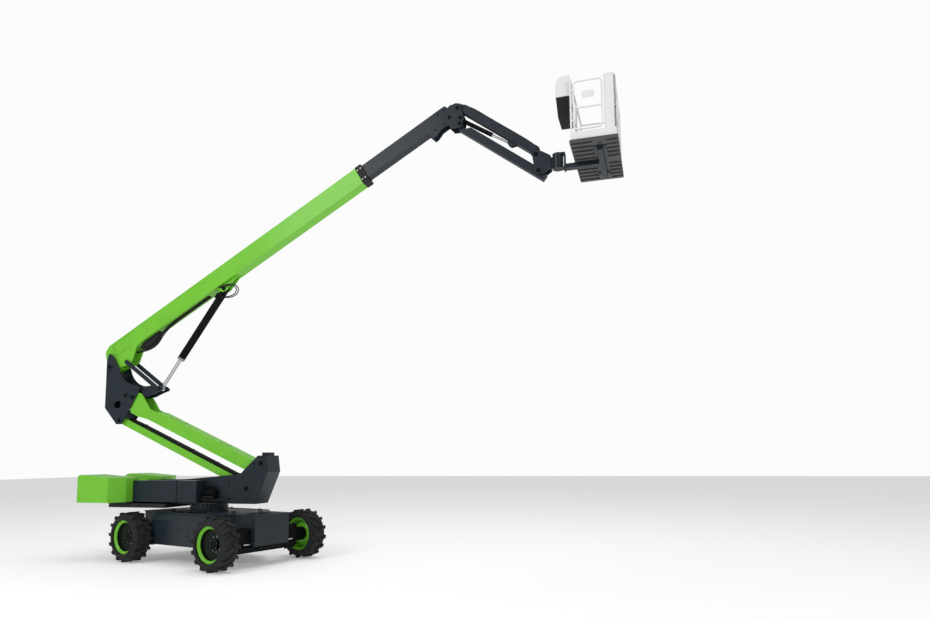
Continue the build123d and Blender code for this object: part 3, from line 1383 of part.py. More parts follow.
# Platform rails: a top loop, a mid loop and posts, with the gateway at the near end left open
RAIL_CORNER = 60.0
POST_END = 3.0
with BuildPart() as platform_rails:
    for loop_z in (RAIL_TOP, RAIL_MID):
        loop = [
            (GATE_X1 + 30.0, -RAIL_Y, loop_z),
            (RAIL_X1, -RAIL_Y, loop_z),
            (RAIL_X1, RAIL_Y, loop_z),
            (RAIL_X0, RAIL_Y, loop_z),
            (RAIL_X0, -RAIL_Y - RAIL_R, loop_z),
        ]
        rail(loop, RAIL_R, RAIL_CORNER)
    posts = [
        (GATE_X1 + 30.0 + RAIL_R, -RAIL_Y),
        (RAIL_X0, -RAIL_Y),
        (RAIL_X0, 0.0),
        (RAIL_X0, RAIL_Y - 2 * RAIL_CORNER),
        (RAIL_X1, 0.0),
        (RAIL_X1, RAIL_Y - 2 * RAIL_CORNER),
        (RAIL_X1, -RAIL_Y + 2 * RAIL_CORNER),
    ]
    for post_x, post_y in posts:
        rail([(post_x, post_y, RAIL_BASE), (post_x, post_y, RAIL_TOP - POST_END)], RAIL_R - 1)
    # Toe boards inside the floor's rim
    toe_base = FLOOR_Z + FLOOR_RIM + SEAT_GAP
    toe_offset = RAIL_R - TOE_PLATE
    toe_half = RAIL_Y + toe_offset
    for side in (-1, 1):
        edge_plane = boom_plane((0.0, 0.0), 0.0, side * toe_half)
        block(edge_plane, (RAIL_X0 - toe_offset, toe_base), (RAIL_X1 + toe_offset, TOE_TOP), TOE_PLATE / 2)
    for edge_x in (RAIL_X0 - toe_offset, RAIL_X1 + toe_offset):
        toe_low = (edge_x - TOE_PLATE / 2, toe_base)
        block(HEAD, toe_low, (edge_x + TOE_PLATE / 2, TOE_TOP), toe_half)
    # Hinge eyes for the gate
    for eye_z in HINGE_EYES:
        with BuildSketch(level_plane(eye_z)):
            with Locations((GATE_X0, -RAIL_Y)):
                Circle(GATE_R + 9)
            with Locations(((RAIL_X0 + GATE_X0) / 2, -RAIL_Y)):
                Rectangle(GATE_X0 - RAIL_X0, 2 * GATE_R)
        extrude(amount=HINGE_EYE)
        with BuildSketch(level_plane(eye_z - 1)):
            with Locations((GATE_X0, -RAIL_Y)):
                Circle(GATE_R + SLIDE_GAP)
        extrude(amount=HINGE_EYE + 2, mode=Mode.SUBTRACT)
finish(platform_rails.part, "platform_rails")

# Gate in the near end, hinged on the boom-side post
with BuildPart() as platform_gate:
    gate_y = -RAIL_Y
    for end_z in (GATE_HIGH, GATE_LOW):
        half_loop = [
            (GATE_X0, gate_y, GATE_MID),
            (GATE_X0, gate_y, end_z),
            (GATE_X1, gate_y, end_z),
            (GATE_X1, gate_y, GATE_MID),
        ]
        rail(half_loop, GATE_R, GATE_CORNER)
    rail([(GATE_X0, gate_y, GATE_MID), (GATE_X1, gate_y, GATE_MID)], GATE_R)
finish(platform_gate.part, "platform_gate")

# Platform control console on the boom side: a dark box with a pale cover above
CONSOLE_MID = (CONSOLE_Y0 + CONSOLE_Y1) / 2
CONSOLE_HALF = (CONSOLE_Y1 - CONSOLE_Y0) / 2
CONSOLE = boom_plane((0.0, 0.0), 0.0, CONSOLE_MID)
CONSOLE_BACK = RAIL_X0 - RAIL_R - SEAT_GAP
CONSOLE_SPLIT = 8020.0
# With the platform turned to its end the console hangs beside the jib, clear of its arms
CONSOLE_FRONT = ROTATOR_X + JIB_UPPER_HALF + 15.0
with BuildPart() as console_box:
    slab(
        CONSOLE,
        [
            (CONSOLE_FRONT + 10.0, CONSOLE_SPLIT),
            (CONSOLE_BACK, CONSOLE_SPLIT),
            (CONSOLE_BACK, 7660.0),
            (CONSOLE_FRONT + 40.0, 7660.0),
        ],
        CONSOLE_HALF,
    )
finish(console_box.part, "console_box")

with BuildPart() as console_cover:
    slab(
        CONSOLE,
        [
            (CONSOLE_FRONT + 5.0, 8060.0),
            (CONSOLE_FRONT, 8200.0),
            (CONSOLE_FRONT + 25.0, 8310.0),
            (CONSOLE_FRONT + 90.0, 8370.0),
            (CONSOLE_BACK, 8390.0),
            (CONSOLE_BACK, CONSOLE_SPLIT + SEAT_GAP),
            (CONSOLE_FRONT + 5.0, CONSOLE_SPLIT + SEAT_GAP),
        ],
        CONSOLE_HALF + 20.0,
    )
finish(console_cover.part, "console_cover")
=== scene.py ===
import json
from math import atan2, cos, pi, radians, sin

import bmesh
import bpy
from mathutils import Matrix, Vector


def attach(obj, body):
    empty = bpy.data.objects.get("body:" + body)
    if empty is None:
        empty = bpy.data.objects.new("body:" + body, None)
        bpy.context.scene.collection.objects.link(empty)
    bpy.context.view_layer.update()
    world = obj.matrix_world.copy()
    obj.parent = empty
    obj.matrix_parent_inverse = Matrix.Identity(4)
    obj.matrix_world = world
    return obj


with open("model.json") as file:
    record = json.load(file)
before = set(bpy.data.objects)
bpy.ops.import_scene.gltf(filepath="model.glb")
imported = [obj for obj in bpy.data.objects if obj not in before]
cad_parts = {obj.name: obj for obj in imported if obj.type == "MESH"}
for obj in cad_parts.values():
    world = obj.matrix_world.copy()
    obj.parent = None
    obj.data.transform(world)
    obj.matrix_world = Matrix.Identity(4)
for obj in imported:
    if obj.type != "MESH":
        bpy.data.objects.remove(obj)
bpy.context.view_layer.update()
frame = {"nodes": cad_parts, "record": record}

# Places in metres, the same as the model's own
SLEW = Vector((-2.8, 0.075, 0.0))
CHASSIS_YAW = radians(-15.8)
CHASSIS_SHIFT = 0.286
DECK_TOP = 0.94
AXLE_X = 1.25
AXLE_Z = 0.475
HALF_TRACK = 1.075
BOOM_ANGLE = radians(29.2)
BOOM_PIVOT = (-2.44, 3.92)
BOOM_HALF = 0.125
BOOM_TOP = 0.45
BOOM_MOUTH = 6.83
EXT_HALF = 0.095
RISER_HEAD = (-1.83, 3.26)
RISER_FOOT = (1.29, 1.87)
LINK_FOOT = (0.98, 1.39)
LINK_HEAD = (-2.14, 2.78)
ROCKER_PIVOT = (-2.0, 3.3)
ROCKER_TIP = (-1.24, 3.43)
LIFT_PIN = (3.09, 0.014)
JIB_PIVOT = (8.752, 0.16)
JIB_ANGLE = radians(-37.0)
JIB_RUN = 1.828
JIB_UPPER = (5.28, 8.49)
JIB_LOWER = (5.32, 8.18)
FLOOR_X = (7.43, 8.225)
FLOOR_Z = 7.15


# Frames of the main members: each gives a matrix whose x runs along the member and y up from it
def member(point, angle):
    """Matrix of a plane in line with the booms: local x along, local y up, local z towards the camera"""
    along = Vector((cos(angle), 0, sin(angle)))
    toward = Vector((0, -1, 0))
    up = toward.cross(along)
    m = Matrix((along, up, toward)).transposed().to_4x4()
    m.translation = SLEW + Vector((point[0], 0, point[1]))
    return m


def heading(a, b):
    """Angle above the level of the line from one point of the booms' plane to another"""
    return atan2(b[1] - a[1], b[0] - a[0])


TABLE = member((0.0, 0.0), 0.0)
BOOM = member(BOOM_PIVOT, BOOM_ANGLE)
RISER_ANGLE = heading(RISER_HEAD, RISER_FOOT)
RISER = member(RISER_HEAD, RISER_ANGLE)
LINK = member(LINK_HEAD, RISER_ANGLE)
UPPER = member(JIB_UPPER, JIB_ANGLE)
CHASSIS = Matrix.Rotation(CHASSIS_YAW, 4, "Z")
CHASSIS.translation = SLEW + Matrix.Rotation(CHASSIS_YAW, 3, "Z") @ Vector((CHASSIS_SHIFT, 0, 0))


def boom_point(s, t):
    """A point of the boom's own frame as a point of the booms' plane"""
    p = BOOM @ Vector((s, t, 0)) - SLEW
    return (p.x, p.z)


# Materials
DRIFT_SCALE = 3.0
RELIEF_DEPTH = 0.002


def surface(
    name, color, rough, metallic=0.0, coat=0.0, grain=0.06, bump=0.04, bump_scale=220.0, specular=0.25
):
    """Paint, metal or rubber whose colour and roughness drift slowly, over a fine bump"""
    m = bpy.data.materials.new(name)
    m.use_nodes = True
    tree = m.node_tree
    shader = tree.nodes["Principled BSDF"]
    shader.inputs["Metallic"].default_value = metallic
    shader.inputs["Coat Weight"].default_value = coat
    shader.inputs["Specular IOR Level"].default_value = specular
    shader.inputs["Coat Roughness"].default_value = 0.12
    where = tree.nodes.new("ShaderNodeTexCoord")
    drift = tree.nodes.new("ShaderNodeTexNoise")
    drift.inputs["Scale"].default_value = DRIFT_SCALE
    drift.inputs["Detail"].default_value = 6.0
    drift.inputs["Roughness"].default_value = 0.62
    tree.links.new(where.outputs["Object"], drift.inputs["Vector"])
    tone = tree.nodes.new("ShaderNodeValToRGB")
    dark = [c * (1 - grain) for c in color]
    light = [min(1.0, c * (1 + grain) + grain * 0.01) for c in color]
    tone.color_ramp.elements[0].position = 0.32
    tone.color_ramp.elements[0].color = (*dark, 1)
    tone.color_ramp.elements[1].position = 0.7
    tone.color_ramp.elements[1].color = (*light, 1)
    tree.links.new(drift.outputs["Fac"], tone.inputs["Fac"])
    tree.links.new(tone.outputs["Color"], shader.inputs["Base Color"])
    gloss = tree.nodes.new("ShaderNodeMapRange")
    gloss.inputs["To Min"].default_value = max(0.03, rough - 0.07)
    gloss.inputs["To Max"].default_value = min(1.0, rough + 0.09)
    tree.links.new(drift.outputs["Fac"], gloss.inputs["Value"])
    tree.links.new(gloss.outputs["Result"], shader.inputs["Roughness"])
    fine = tree.nodes.new("ShaderNodeTexNoise")
    fine.inputs["Scale"].default_value = bump_scale
    fine.inputs["Detail"].default_value = 3.0
    relief = tree.nodes.new("ShaderNodeBump")
    relief.inputs["Strength"].default_value = bump
    relief.inputs["Distance"].default_value = RELIEF_DEPTH
    tree.links.new(where.outputs["Object"], fine.inputs["Vector"])
    tree.links.new(fine.outputs["Fac"], relief.inputs["Height"])
    tree.links.new(relief.outputs["Normal"], shader.inputs["Normal"])
    return m


GREEN = surface("green_paint", (0.18, 0.57, 0.035), 0.34, coat=0.12, grain=0.05)
BODY = surface("body_paint", (0.013, 0.021, 0.030), 0.4, coat=0.05, grain=0.14)
DECK = surface("black_paint", (0.003, 0.004, 0.005), 0.5, grain=0.25, specular=0.08)
CAST = surface("cast_iron", (0.035, 0.04, 0.045), 0.7, metallic=0.3, grain=0.25, bump=0.4, bump_scale=90.0)
TYRE = surface(
    "tyre_black", (0.016, 0.017, 0.017), 0.72, grain=0.35, bump=0.25, bump_scale=140.0, specular=0.2
)
WHITE = surface("white_paint", (0.80, 0.81, 0.80), 0.35, coat=0.3, grain=0.02)
ALUMINIUM = surface("floor_alloy", (0.10, 0.105, 0.10), 0.5, metallic=0.6, grain=0.12)
CHROME = surface("polished_rod", (0.62, 0.63, 0.65), 0.14, metallic=1.0, grain=0.03)
PLASTIC = surface("black_plastic", (0.010, 0.010, 0.011), 0.55, grain=0.2, bump=0.2)
COVER = surface("white_cover", (0.80, 0.81, 0.80), 0.3, coat=0.2, grain=0.015)
HOSE = surface("hose_rubber", (0.008, 0.008, 0.009), 0.45, grain=0.2, bump=0.15)
STEEL = surface("zinc_steel", (0.36, 0.36, 0.35), 0.38, metallic=0.9, grain=0.15)
# Painted shade: dark green for a sheet that stands for the shadow deep in each rim's bowl
RIM_SHADE = surface("painted_rim_shade", (0.004, 0.012, 0.003), 0.55, grain=0.3)

MATERIAL_OF_SLOT = {
    "boom_green": GREEN,
    "body_grey": BODY,
    "deck_black": DECK,
    "mass_grey": CAST,
    "tyre_rubber": TYRE,
    "rail_white": WHITE,
    "floor_metal": ALUMINIUM,
    "rod_chrome": CHROME,
    "cover_white": COVER,
    "box_plastic": PLASTIC,
}
for sub in frame["record"]["subparts"]:
    node = frame["nodes"][sub["node"]]
    node.data.materials.clear()
    node.data.materials.append(MATERIAL_OF_SLOT[sub["material_slot"]])


# Mesh helpers
class Piece:
    """Collects solids in one mesh, in a member's own frame, and puts them on a body"""

    def __init__(self, name, body, material, frame_matrix=None):
        self.name = name
        self.body = body
        self.material = material
        self.matrix = frame_matrix or Matrix.Identity(4)
        self.mesh = bmesh.new()

    def _place(self, made, matrix):
        bmesh.ops.transform(self.mesh, matrix=self.matrix @ matrix, verts=made)

    def box(self, low, high, chamfer=0.0):
        """Box between two corners, its edges cut if a chamfer is given"""
        size = [high[i] - low[i] for i in range(3)]
        made = bmesh.ops.create_cube(self.mesh, size=1.0)["verts"]
        scale = Matrix.Diagonal((*size, 1))
        centre = Matrix.Translation([(high[i] + low[i]) / 2 for i in range(3)])
        bmesh.ops.transform(self.mesh, matrix=centre @ scale, verts=made)
        if chamfer > 0.0:
            edges = list({e for v in made for e in v.link_edges})
            cut = bmesh.ops.bevel(self.mesh, geom=edges, offset=chamfer, segments=2, affect="EDGES")
            made = cut["verts"]
        self._place(made, Matrix.Identity(4))
        return self

    def rod(self, start, end, radius, sides=20, end_radius=None):
        """Round bar or cone between two points, capped at each end"""
        a, b = Vector(start), Vector(end)
        axis = b - a
        turn = Vector((0, 0, 1)).rotation_difference(axis.normalized()).to_matrix().to_4x4()
        made = bmesh.ops.create_cone(
            self.mesh,
            cap_ends=True,
            segments=sides,
            radius1=radius,
            radius2=radius if end_radius is None else end_radius,
            depth=axis.length,
        )["verts"]
        self._place(made, Matrix.Translation((a + b) / 2) @ turn)
        return self

    def bolt(self, centre, axis, radius=0.012, height=0.009):
        """Hexagon head on a washer"""
        centre, axis = Vector(centre), Vector(axis).normalized()
        self.rod(centre, centre + axis * 0.002, radius * 1.45, 16)
        self.rod(centre + axis * 0.002, centre + axis * (0.002 + height), radius, 6, radius * 0.94)
        return self

    def lathe(self, profile, sides=48):
        """Surface turned about the local z axis from (radius, height) pairs, closed back to its start"""
        turns = []
        for k in range(sides):
            a = 2 * pi * k / sides
            turns.append([self.mesh.verts.new((r * cos(a), r * sin(a), z)) for r, z in profile])
        for k in range(sides):
            near, far = turns[k], turns[(k + 1) % sides]
            for i in range(len(profile)):
                j = (i + 1) % len(profile)
                self.mesh.faces.new((near[i], near[j], far[j], far[i]))
        self._place([v for turn in turns for v in turn], Matrix.Identity(4))
        return self

    def done(self, smooth=True):
        bmesh.ops.recalc_face_normals(self.mesh, faces=self.mesh.faces)
        data = bpy.data.meshes.new(self.name)
        self.mesh.to_mesh(data)
        self.mesh.free()
        obj = bpy.data.objects.new(self.name, data)
        bpy.context.scene.collection.objects.link(obj)
        data.materials.append(self.material)
        if smooth:
            data.polygons.foreach_set("use_smooth", [True] * len(data.polygons))
            data.set_sharp_from_angle(angle=radians(32))
        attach(obj, self.body)
        return obj


def pipe(name, body, points, radius, material=HOSE, matrix=None, order=3):
    """Fixed hose or pipe along a smooth curve through its control points"""
    matrix = matrix or Matrix.Identity(4)
    data = bpy.data.curves.new(name, "CURVE")
    data.dimensions = "3D"
    data.bevel_depth = radius
    data.bevel_resolution = 3
    data.resolution_u = 8
    data.use_fill_caps = True
    spline = data.splines.new("NURBS")
    spline.points.add(len(points) - 1)
    for knot, p in zip(spline.points, points):
        knot.co = (*(matrix @ Vector(p)), 1)
    spline.order_u = order
    spline.use_endpoint_u = True
    data.materials.append(material)
    obj = bpy.data.objects.new(name, data)
    bpy.context.scene.collection.objects.link(obj)
    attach(obj, body)
    return obj


def pin_heads(piece, centre, depth, radius, bolts=3):
    """Round pin cap with its keeper bolts on both sides of a member"""
    x, y = centre
    for side in (-1, 1):
        face = side * depth
        piece.rod((x, y, face), (x, y, face + side * 0.006), radius, 28)
        piece.rod((x, y, face + side * 0.006), (x, y, face + side * 0.011), radius * 0.62, 28)
        for k in range(bolts):
            a = 2 * pi * k / bolts + 0.5
            spot = (x + 0.8 * radius * cos(a), y + 0.8 * radius * sin(a), face + side * 0.006)
            piece.bolt(spot, (0, 0, side), 0.006, 0.005)


# Wheels: hub cap, a dark sheet of painted shade inside the rim's bowl, bulged sidewall, nuts and valve
WHEELS = [
    ("near_front", AXLE_X, -1),
    ("far_front", AXLE_X, 1),
    ("near_rear", -AXLE_X, -1),
    ("far_rear", -AXLE_X, 1),
]
HUB_CAP_STEPS = [
    (-0.019, 0.036, 36, 0.101, 0.101),
    (0.036, 0.050, 36, 0.093, 0.072),
    (0.050, 0.064, 28, 0.066, 0.030),
]
WHEEL_NUTS = 9
WHEEL_NUT_RING = 0.135
CAP_BOLTS = 6
CAP_BOLT_RING = 0.082
# Section of the painted-shade sheet laid over the rim's bowl
RIM_SHADE_SECTION = [
    (0.104, -0.018),
    (0.176, -0.018),
    (0.263, 0.0295),
    (0.271, 0.104),
    (0.2725, 0.104),
    (0.2645, 0.0285),
    (0.176, -0.0195),
    (0.104, -0.0195),
]
TYRE_FACE = 0.17
SIDEWALL = [
    (0.327, TYRE_FACE - 0.002),
    (0.328, TYRE_FACE + 0.006),
    (0.332, TYRE_FACE + 0.008),
    (0.345, TYRE_FACE + 0.012),
    (0.362, TYRE_FACE + 0.011),
    (0.374, TYRE_FACE + 0.004),
    (0.376, TYRE_FACE - 0.002),
]
for wheel, wheel_x, side in WHEELS:
    centre = CHASSIS @ Matrix.Translation((wheel_x, side * HALF_TRACK, AXLE_Z))
    out = Matrix.Rotation(-side * pi / 2, 4, "X")
    spot = centre @ out
    body = "wheel_" + wheel
    black = Piece("hub_cap_" + wheel, body, DECK, spot)
    for near, far, sides, near_r, far_r in HUB_CAP_STEPS:
        black.rod((0, 0, near), (0, 0, far), near_r, sides, far_r)
    black.done()
    # Painted shade: a dark sheet over the rim's bowl, in place of the shadow inside it
    rim_shade = Piece("rim_painted_shade_" + wheel, body, RIM_SHADE, spot)
    rim_shade.lathe(RIM_SHADE_SECTION)
    rim_shade.done()
    wall = Piece("sidewall_" + wheel, body, TYRE, spot)
    wall.lathe(SIDEWALL)
    wall.done()
    nuts = Piece("wheel_nuts_" + wheel, body, STEEL, spot)
    for k in range(WHEEL_NUTS):
        a = 2 * pi * k / WHEEL_NUTS
        nuts.bolt((WHEEL_NUT_RING * cos(a), WHEEL_NUT_RING * sin(a), -0.02), (0, 0, 1), 0.014, 0.017)
    for k in range(CAP_BOLTS):
        a = 2 * pi * k / CAP_BOLTS + 0.3
        nuts.bolt((CAP_BOLT_RING * cos(a), CAP_BOLT_RING * sin(a), 0.038), (0, 0, 1), 0.007, 0.006)
    nuts.rod((0.235, 0.02, 0.03), (0.245, 0.021, 0.085), 0.005, 10)
    nuts.done()

# Chassis details
DECK_PLATE_X = (-0.62, 0.42)
DECK_PLATE_Y = 0.60
DECK_PLATE_HALF = 0.10
deck_bits = Piece("deck_plates", "chassis", DECK, CHASSIS)
for side in (-1, 1):
    deck_low = (DECK_PLATE_X[0], side * DECK_PLATE_Y - DECK_PLATE_HALF, DECK_TOP)
    deck_high = (DECK_PLATE_X[1], side * DECK_PLATE_Y + DECK_PLATE_HALF, DECK_TOP + 0.004)
    deck_bits.box(deck_low, deck_high, 0.0015)
deck_bits.box((1.08, -0.3, DECK_TOP), (1.42, 0.3, DECK_TOP + 0.005), 0.002)
deck_bits.done()
studs = Piece("deck_bolts", "chassis", STEEL, CHASSIS)
for side in (-1, 1):
    for x in (-0.58, -0.1, 0.38):
        for y in (0.52, 0.68):
            studs.bolt((x, side * y, DECK_TOP + 0.004), (0, 0, 1), 0.009, 0.006)
for x in (1.11, 1.39):
    for y in (-0.27, 0, 0.27):
        studs.bolt((x, y, DECK_TOP + 0.005), (0, 0, 1), 0.009, 0.006)
RING_BOLTS = 28
RING_BOLT_R = 0.348
RING_BOLT_Z = 1.05
ring_centre = CHASSIS.inverted() @ SLEW
for k in range(RING_BOLTS):
    a = 2 * pi * k / RING_BOLTS
    ring_x = ring_centre.x + RING_BOLT_R * cos(a)
    ring_y = ring_centre.y + RING_BOLT_R * sin(a)
    studs.bolt((ring_x, ring_y, RING_BOLT_Z), (0, 0, 1), 0.009, 0.008)
studs.done()

# Edge strips, seams and bolts of the side covers
COVER_X = (-0.925, 0.595)
COVER_EDGE_Y = 0.853
COVER_EDGE_Z = (0.422, 0.652)
strips = Piece("cover_strips", "chassis", CAST, CHASSIS)
for side in (-1, 1):
    for z in COVER_EDGE_Z:
        edge_y = side * COVER_EDGE_Y
        strips.box((COVER_X[0], edge_y - 0.002, z - 0.004), (COVER_X[1], edge_y + 0.002, z + 0.004), 0.001)
strips.done()
covers = Piece("cover_seams", "chassis", DECK, CHASSIS)
for side in (-1, 1):
    for x in (-0.55, 0.22):
        covers.box((x - 0.003, side * 0.8615 - 0.001, 0.45), (x + 0.003, side * 0.8615 + 0.001, 0.63), 0.0)
    for x in (-0.50, 0.17):
        covers.bolt((x, side * 0.8605, 0.54), (0, side, 0), 0.01, 0.006)
covers.done()

# Steering ram on the steered axle
RAM_X = 1.42
RAM_Z = 0.42
ram = Piece("steer_ram", "chassis", DECK, CHASSIS)
ram.rod((RAM_X, -0.28, RAM_Z), (RAM_X, 0.28, RAM_Z), 0.036, 24)
for y in (-0.28, 0.28):
    ram.rod((RAM_X, y - 0.014, RAM_Z), (RAM_X, y + 0.014, RAM_Z), 0.043, 24)
ram.box((1.38, -0.06, 0.39), (1.40, 0.06, 0.45), 0.003)
ram.done()
rods = Piece("steer_ram_rods", "chassis", CHROME, CHASSIS)
rods.rod((RAM_X, -0.60, RAM_Z), (RAM_X, 0.60, RAM_Z), 0.016, 20)
rods.done()

# Turntable's pins
pins = Piece("turntable_pins", "turntable", DECK, TABLE)
for spot in (RISER_FOOT, LINK_FOOT):
    pin_heads(pins, spot, 0.23, 0.044)
pins.done()

# Painted highlight: a bright steel strip along the control box's top, where light catches its sloping top
strip = Piece("control_box_painted_highlight", "turntable", STEEL, TABLE)
strip.box((-0.39, 1.54, 0.24), (0.04, 1.543, 0.49), 0.001)
strip.done()

# Valve block and hoses in the recess beside the control box
VALVES = 4
VALVE_X = 0.125
VALVE_STEP = 0.065
valves = Piece("valve_block", "turntable", DECK, TABLE)
valves.box((0.09, 1.17, 0.22), (0.36, 1.36, 0.36), 0.006)
for k in range(VALVES):
    x = VALVE_X + VALVE_STEP * k
    valves.rod((x, 1.36, 0.30), (x, 1.44, 0.30), 0.021, 20)
    valves.rod((x, 1.27, 0.36), (x, 1.27, 0.41), 0.016, 16)
valves.done()
fittings = Piece("valve_fittings", "turntable", STEEL, TABLE)
for k in range(VALVES):
    x = VALVE_X + VALVE_STEP * k
    fittings.rod((x, 1.22, 0.36), (x, 1.22, 0.385), 0.013, 6)
fittings.done()
for k in range(VALVES):
    x = VALVE_X + VALVE_STEP * k
    pipe(
        f"valve_hose_{k}",
        "turntable",
        [
            (x, 1.22, 0.37),
            (x, 1.21, 0.44),
            (x + 0.05, 1.16, 0.47),
            (x + 0.16, 1.15, 0.42),
            (x + 0.30, 1.19, 0.26),
            (x + 0.32, 1.2, 0.225),
        ],
        0.009,
        matrix=TABLE,
    )

# Bolts of the turntable's ears and cheeks
EAR_BOLTS = ((0.90, 1.57), (1.14, 1.86), (1.36, 1.98), (1.02, 1.20), (0.6, 1.52), (0.3, 1.5), (-0.3, 1.48))
ear = Piece("ear_bolts", "turntable", DECK, TABLE)
for x, z in EAR_BOLTS:
    for side in (-1, 1):
        ear.bolt((x, z, side * 0.22), (0, 0, side), 0.012, 0.008)
ear.done()

# Riser's end plates and bolts, and the hoses on the link's tray
riser_bits = Piece("riser_bits", "riser", GREEN, RISER)
riser_bits.box((1.0, -0.0375, -0.10), (1.32, -0.033, 0.10), 0.002)
riser_bits.box((2.3, -0.0375, -0.10), (2.5, -0.033, 0.10), 0.002)
riser_bits.done()
riser_pins = Piece("riser_bolts", "riser", STEEL, RISER)
for x in (1.03, 1.16, 1.29, 2.33, 2.47):
    for y in (-0.08, 0.08):
        riser_pins.bolt((x, -0.033, y), (0, 1, 0), 0.008, 0.006)
riser_pins.done()
for k in range(3):
    y = -0.05 + 0.05 * k
    pipe(
        f"link_hose_{k}",
        "link",
        [
            (0.12, 0.095, y),
            (0.4, 0.113, y),
            (1.2, 0.112, y),
            (2.2, 0.113, y),
            (2.9, 0.112, y),
            (3.08, 0.111, y),
            (3.2, 0.085, y),
        ],
        0.012,
        matrix=LINK,
    )
clamps = Piece("link_clamps", "link", DECK, LINK)
for x in (0.5, 1.15, 1.8, 2.45, 3.0):
    clamps.box((x - 0.012, 0.099, -0.075), (x + 0.012, 0.127, 0.075), 0.003)
clamps.done()

# Upright: pin caps on every pivot
caps = Piece("upright_caps", "upright_body", DECK, TABLE)
for spot in (BOOM_PIVOT, ROCKER_PIVOT, LINK_HEAD, RISER_HEAD):
    pin_heads(caps, spot, 0.193, 0.04)
caps.done()
upright_rings = Piece("upright_bosses", "upright_body", BODY, TABLE)
for spot in (BOOM_PIVOT, ROCKER_PIVOT, LINK_HEAD, RISER_HEAD):
    for side in (-1, 1):
        upright_rings.rod((*spot, side * 0.184), (*spot, side * 0.1925), 0.07, 32)
upright_rings.done()
for k in range(3):
    y = -0.05 + 0.05 * k
    pipe(
        f"upright_hose_{k}",
        "upright_body",
        [
            (-2.495, 3.0, y),
            (-2.47, 3.2, y),
            (-2.475, 3.45, y),
            (-2.47, 3.65, y),
            (-2.40, 3.74, y),
            (-2.33, 3.76, y),
        ],
        0.012,
        matrix=TABLE,
    )

# Main boom: panel outline near its heel, pad bolts at the mouth and hoses below
boom_marks = Piece("boom_marks", "boom", DECK, BOOM)
for side in (-1, 1):
    y = side * (BOOM_HALF + 0.0004)
    for low, high in (
        ((0.22, 0.40), (0.86, 0.4035)),
        ((0.22, 0.16), (0.226, 0.4035)),
        ((0.22, 0.16), (0.62, 0.1635)),
    ):
        boom_marks.box((*low, y - 0.0006), (*high, y + 0.0006))
boom_marks.done()
pads = Piece("boom_pad_bolts", "boom", STEEL, BOOM)
for s in (BOOM_MOUTH - 0.10, BOOM_MOUTH - 0.03):
    for t in (0.16, 0.38):
        for side in (-1, 1):
            pads.bolt((s, t, side * (BOOM_HALF + 0.008)), (0, 0, side), 0.01, 0.007)
    for y in (-0.07, 0.07):
        pads.bolt((s, BOOM_TOP + 0.008, y), (0, 1, 0), 0.01, 0.007)
pads.done()
heel_caps = Piece("boom_pin_caps", "boom", DECK, BOOM)
pin_heads(heel_caps, LIFT_PIN, 0.08, 0.042, 2)
heel_caps.done()
for k in range(3):
    y = -0.04 + 0.04 * k
    pipe(
        f"boom_hose_{k}",
        "boom",
        [
            (0.60, 0.02, y),
            (0.72, -0.03, y),
            (0.95, -0.10 - 0.012 * k, y),
            (1.15, -0.085, y),
            (1.34, 0.02, y),
            (1.6, 0.08, y),
            (2.2, 0.086, y),
            (2.7, 0.084, y),
        ],
        0.012,
        matrix=BOOM,
    )
pipe(
    "lift_hose_loop",
    "boom",
    [
        (3.0, 0.09, 0.09),
        (3.16, 0.03, 0.13),
        (3.36, -0.06, 0.14),
        (3.42, -0.2, 0.12),
        (3.3, -0.29, 0.09),
        (3.1, -0.24, 0.085),
        (2.98, -0.14, 0.085),
    ],
    0.011,
    matrix=BOOM,
)
pipe(
    "lift_hose_loop_far",
    "boom",
    [
        (3.0, 0.09, 0.06),
        (3.14, 0.02, 0.12),
        (3.3, -0.05, 0.12),
        (3.37, -0.16, 0.11),
        (3.28, -0.25, 0.09),
        (3.1, -0.21, 0.085),
        (2.95, -0.13, 0.085),
    ],
    0.011,
    matrix=BOOM,
)

# Extension's end bolts, and the jib's pin caps, hoses and clamps
JIB_CYLINDER_FOOT = (5.34, 8.29)
ext_bits = Piece("extension_bolts", "extension", DECK, BOOM)
for s, t in ((8.60, 0.36), (8.74, 0.36), (8.42, 0.12), (8.60, 0.12)):
    for side in (-1, 1):
        ext_bits.bolt((s, t, side * EXT_HALF), (0, 0, side), 0.011, 0.008)
ext_bits.done()
jib_pins = Piece("jib_pin_caps", "jib_head_body", DECK, TABLE)
for spot in (boom_point(*JIB_PIVOT), JIB_UPPER, JIB_LOWER, JIB_CYLINDER_FOOT):
    pin_heads(jib_pins, spot, 0.127, 0.034)
jib_pins.done()
for k in range(2):
    y = -0.03 + 0.06 * k
    pipe(
        f"jib_hose_{k}",
        "jib_upper",
        [(0.02, 0.12, y), (0.2, 0.17, y), (0.6, 0.158, y), (1.2, 0.16, y), (1.6, 0.158, y), (1.8, 0.13, y)],
        0.011,
        matrix=UPPER,
    )
jib_clamps = Piece("jib_clamps", "jib_upper", STEEL, UPPER)
for x in (0.35, 0.85, 1.35):
    jib_clamps.box((x - 0.01, 0.145, -0.055), (x + 0.01, 0.172, 0.055), 0.003)
jib_clamps.done()
end_caps = Piece("jib_end_caps", "jib_end", DECK, TABLE)
for pivot in (JIB_UPPER, JIB_LOWER):
    spot = (pivot[0] + JIB_RUN * cos(JIB_ANGLE), pivot[1] + JIB_RUN * sin(JIB_ANGLE))
    pin_heads(end_caps, spot, 0.104, 0.036)
end_caps.done()

# Cylinder glands
lift_top = boom_point(*LIFT_PIN)
LIFT = member(lift_top, heading(lift_top, ROCKER_TIP))
gland = Piece("lift_gland", "lift_barrel_body", STEEL, LIFT)
gland.rod((1.71, 0, 0), (1.763, 0, 0), 0.0785, 36)
gland.done()
port = Piece("lift_port", "lift_barrel_body", DECK, LIFT)
port.box((0.16, -0.11, -0.035), (0.28, -0.07, 0.035), 0.004)
port.done()

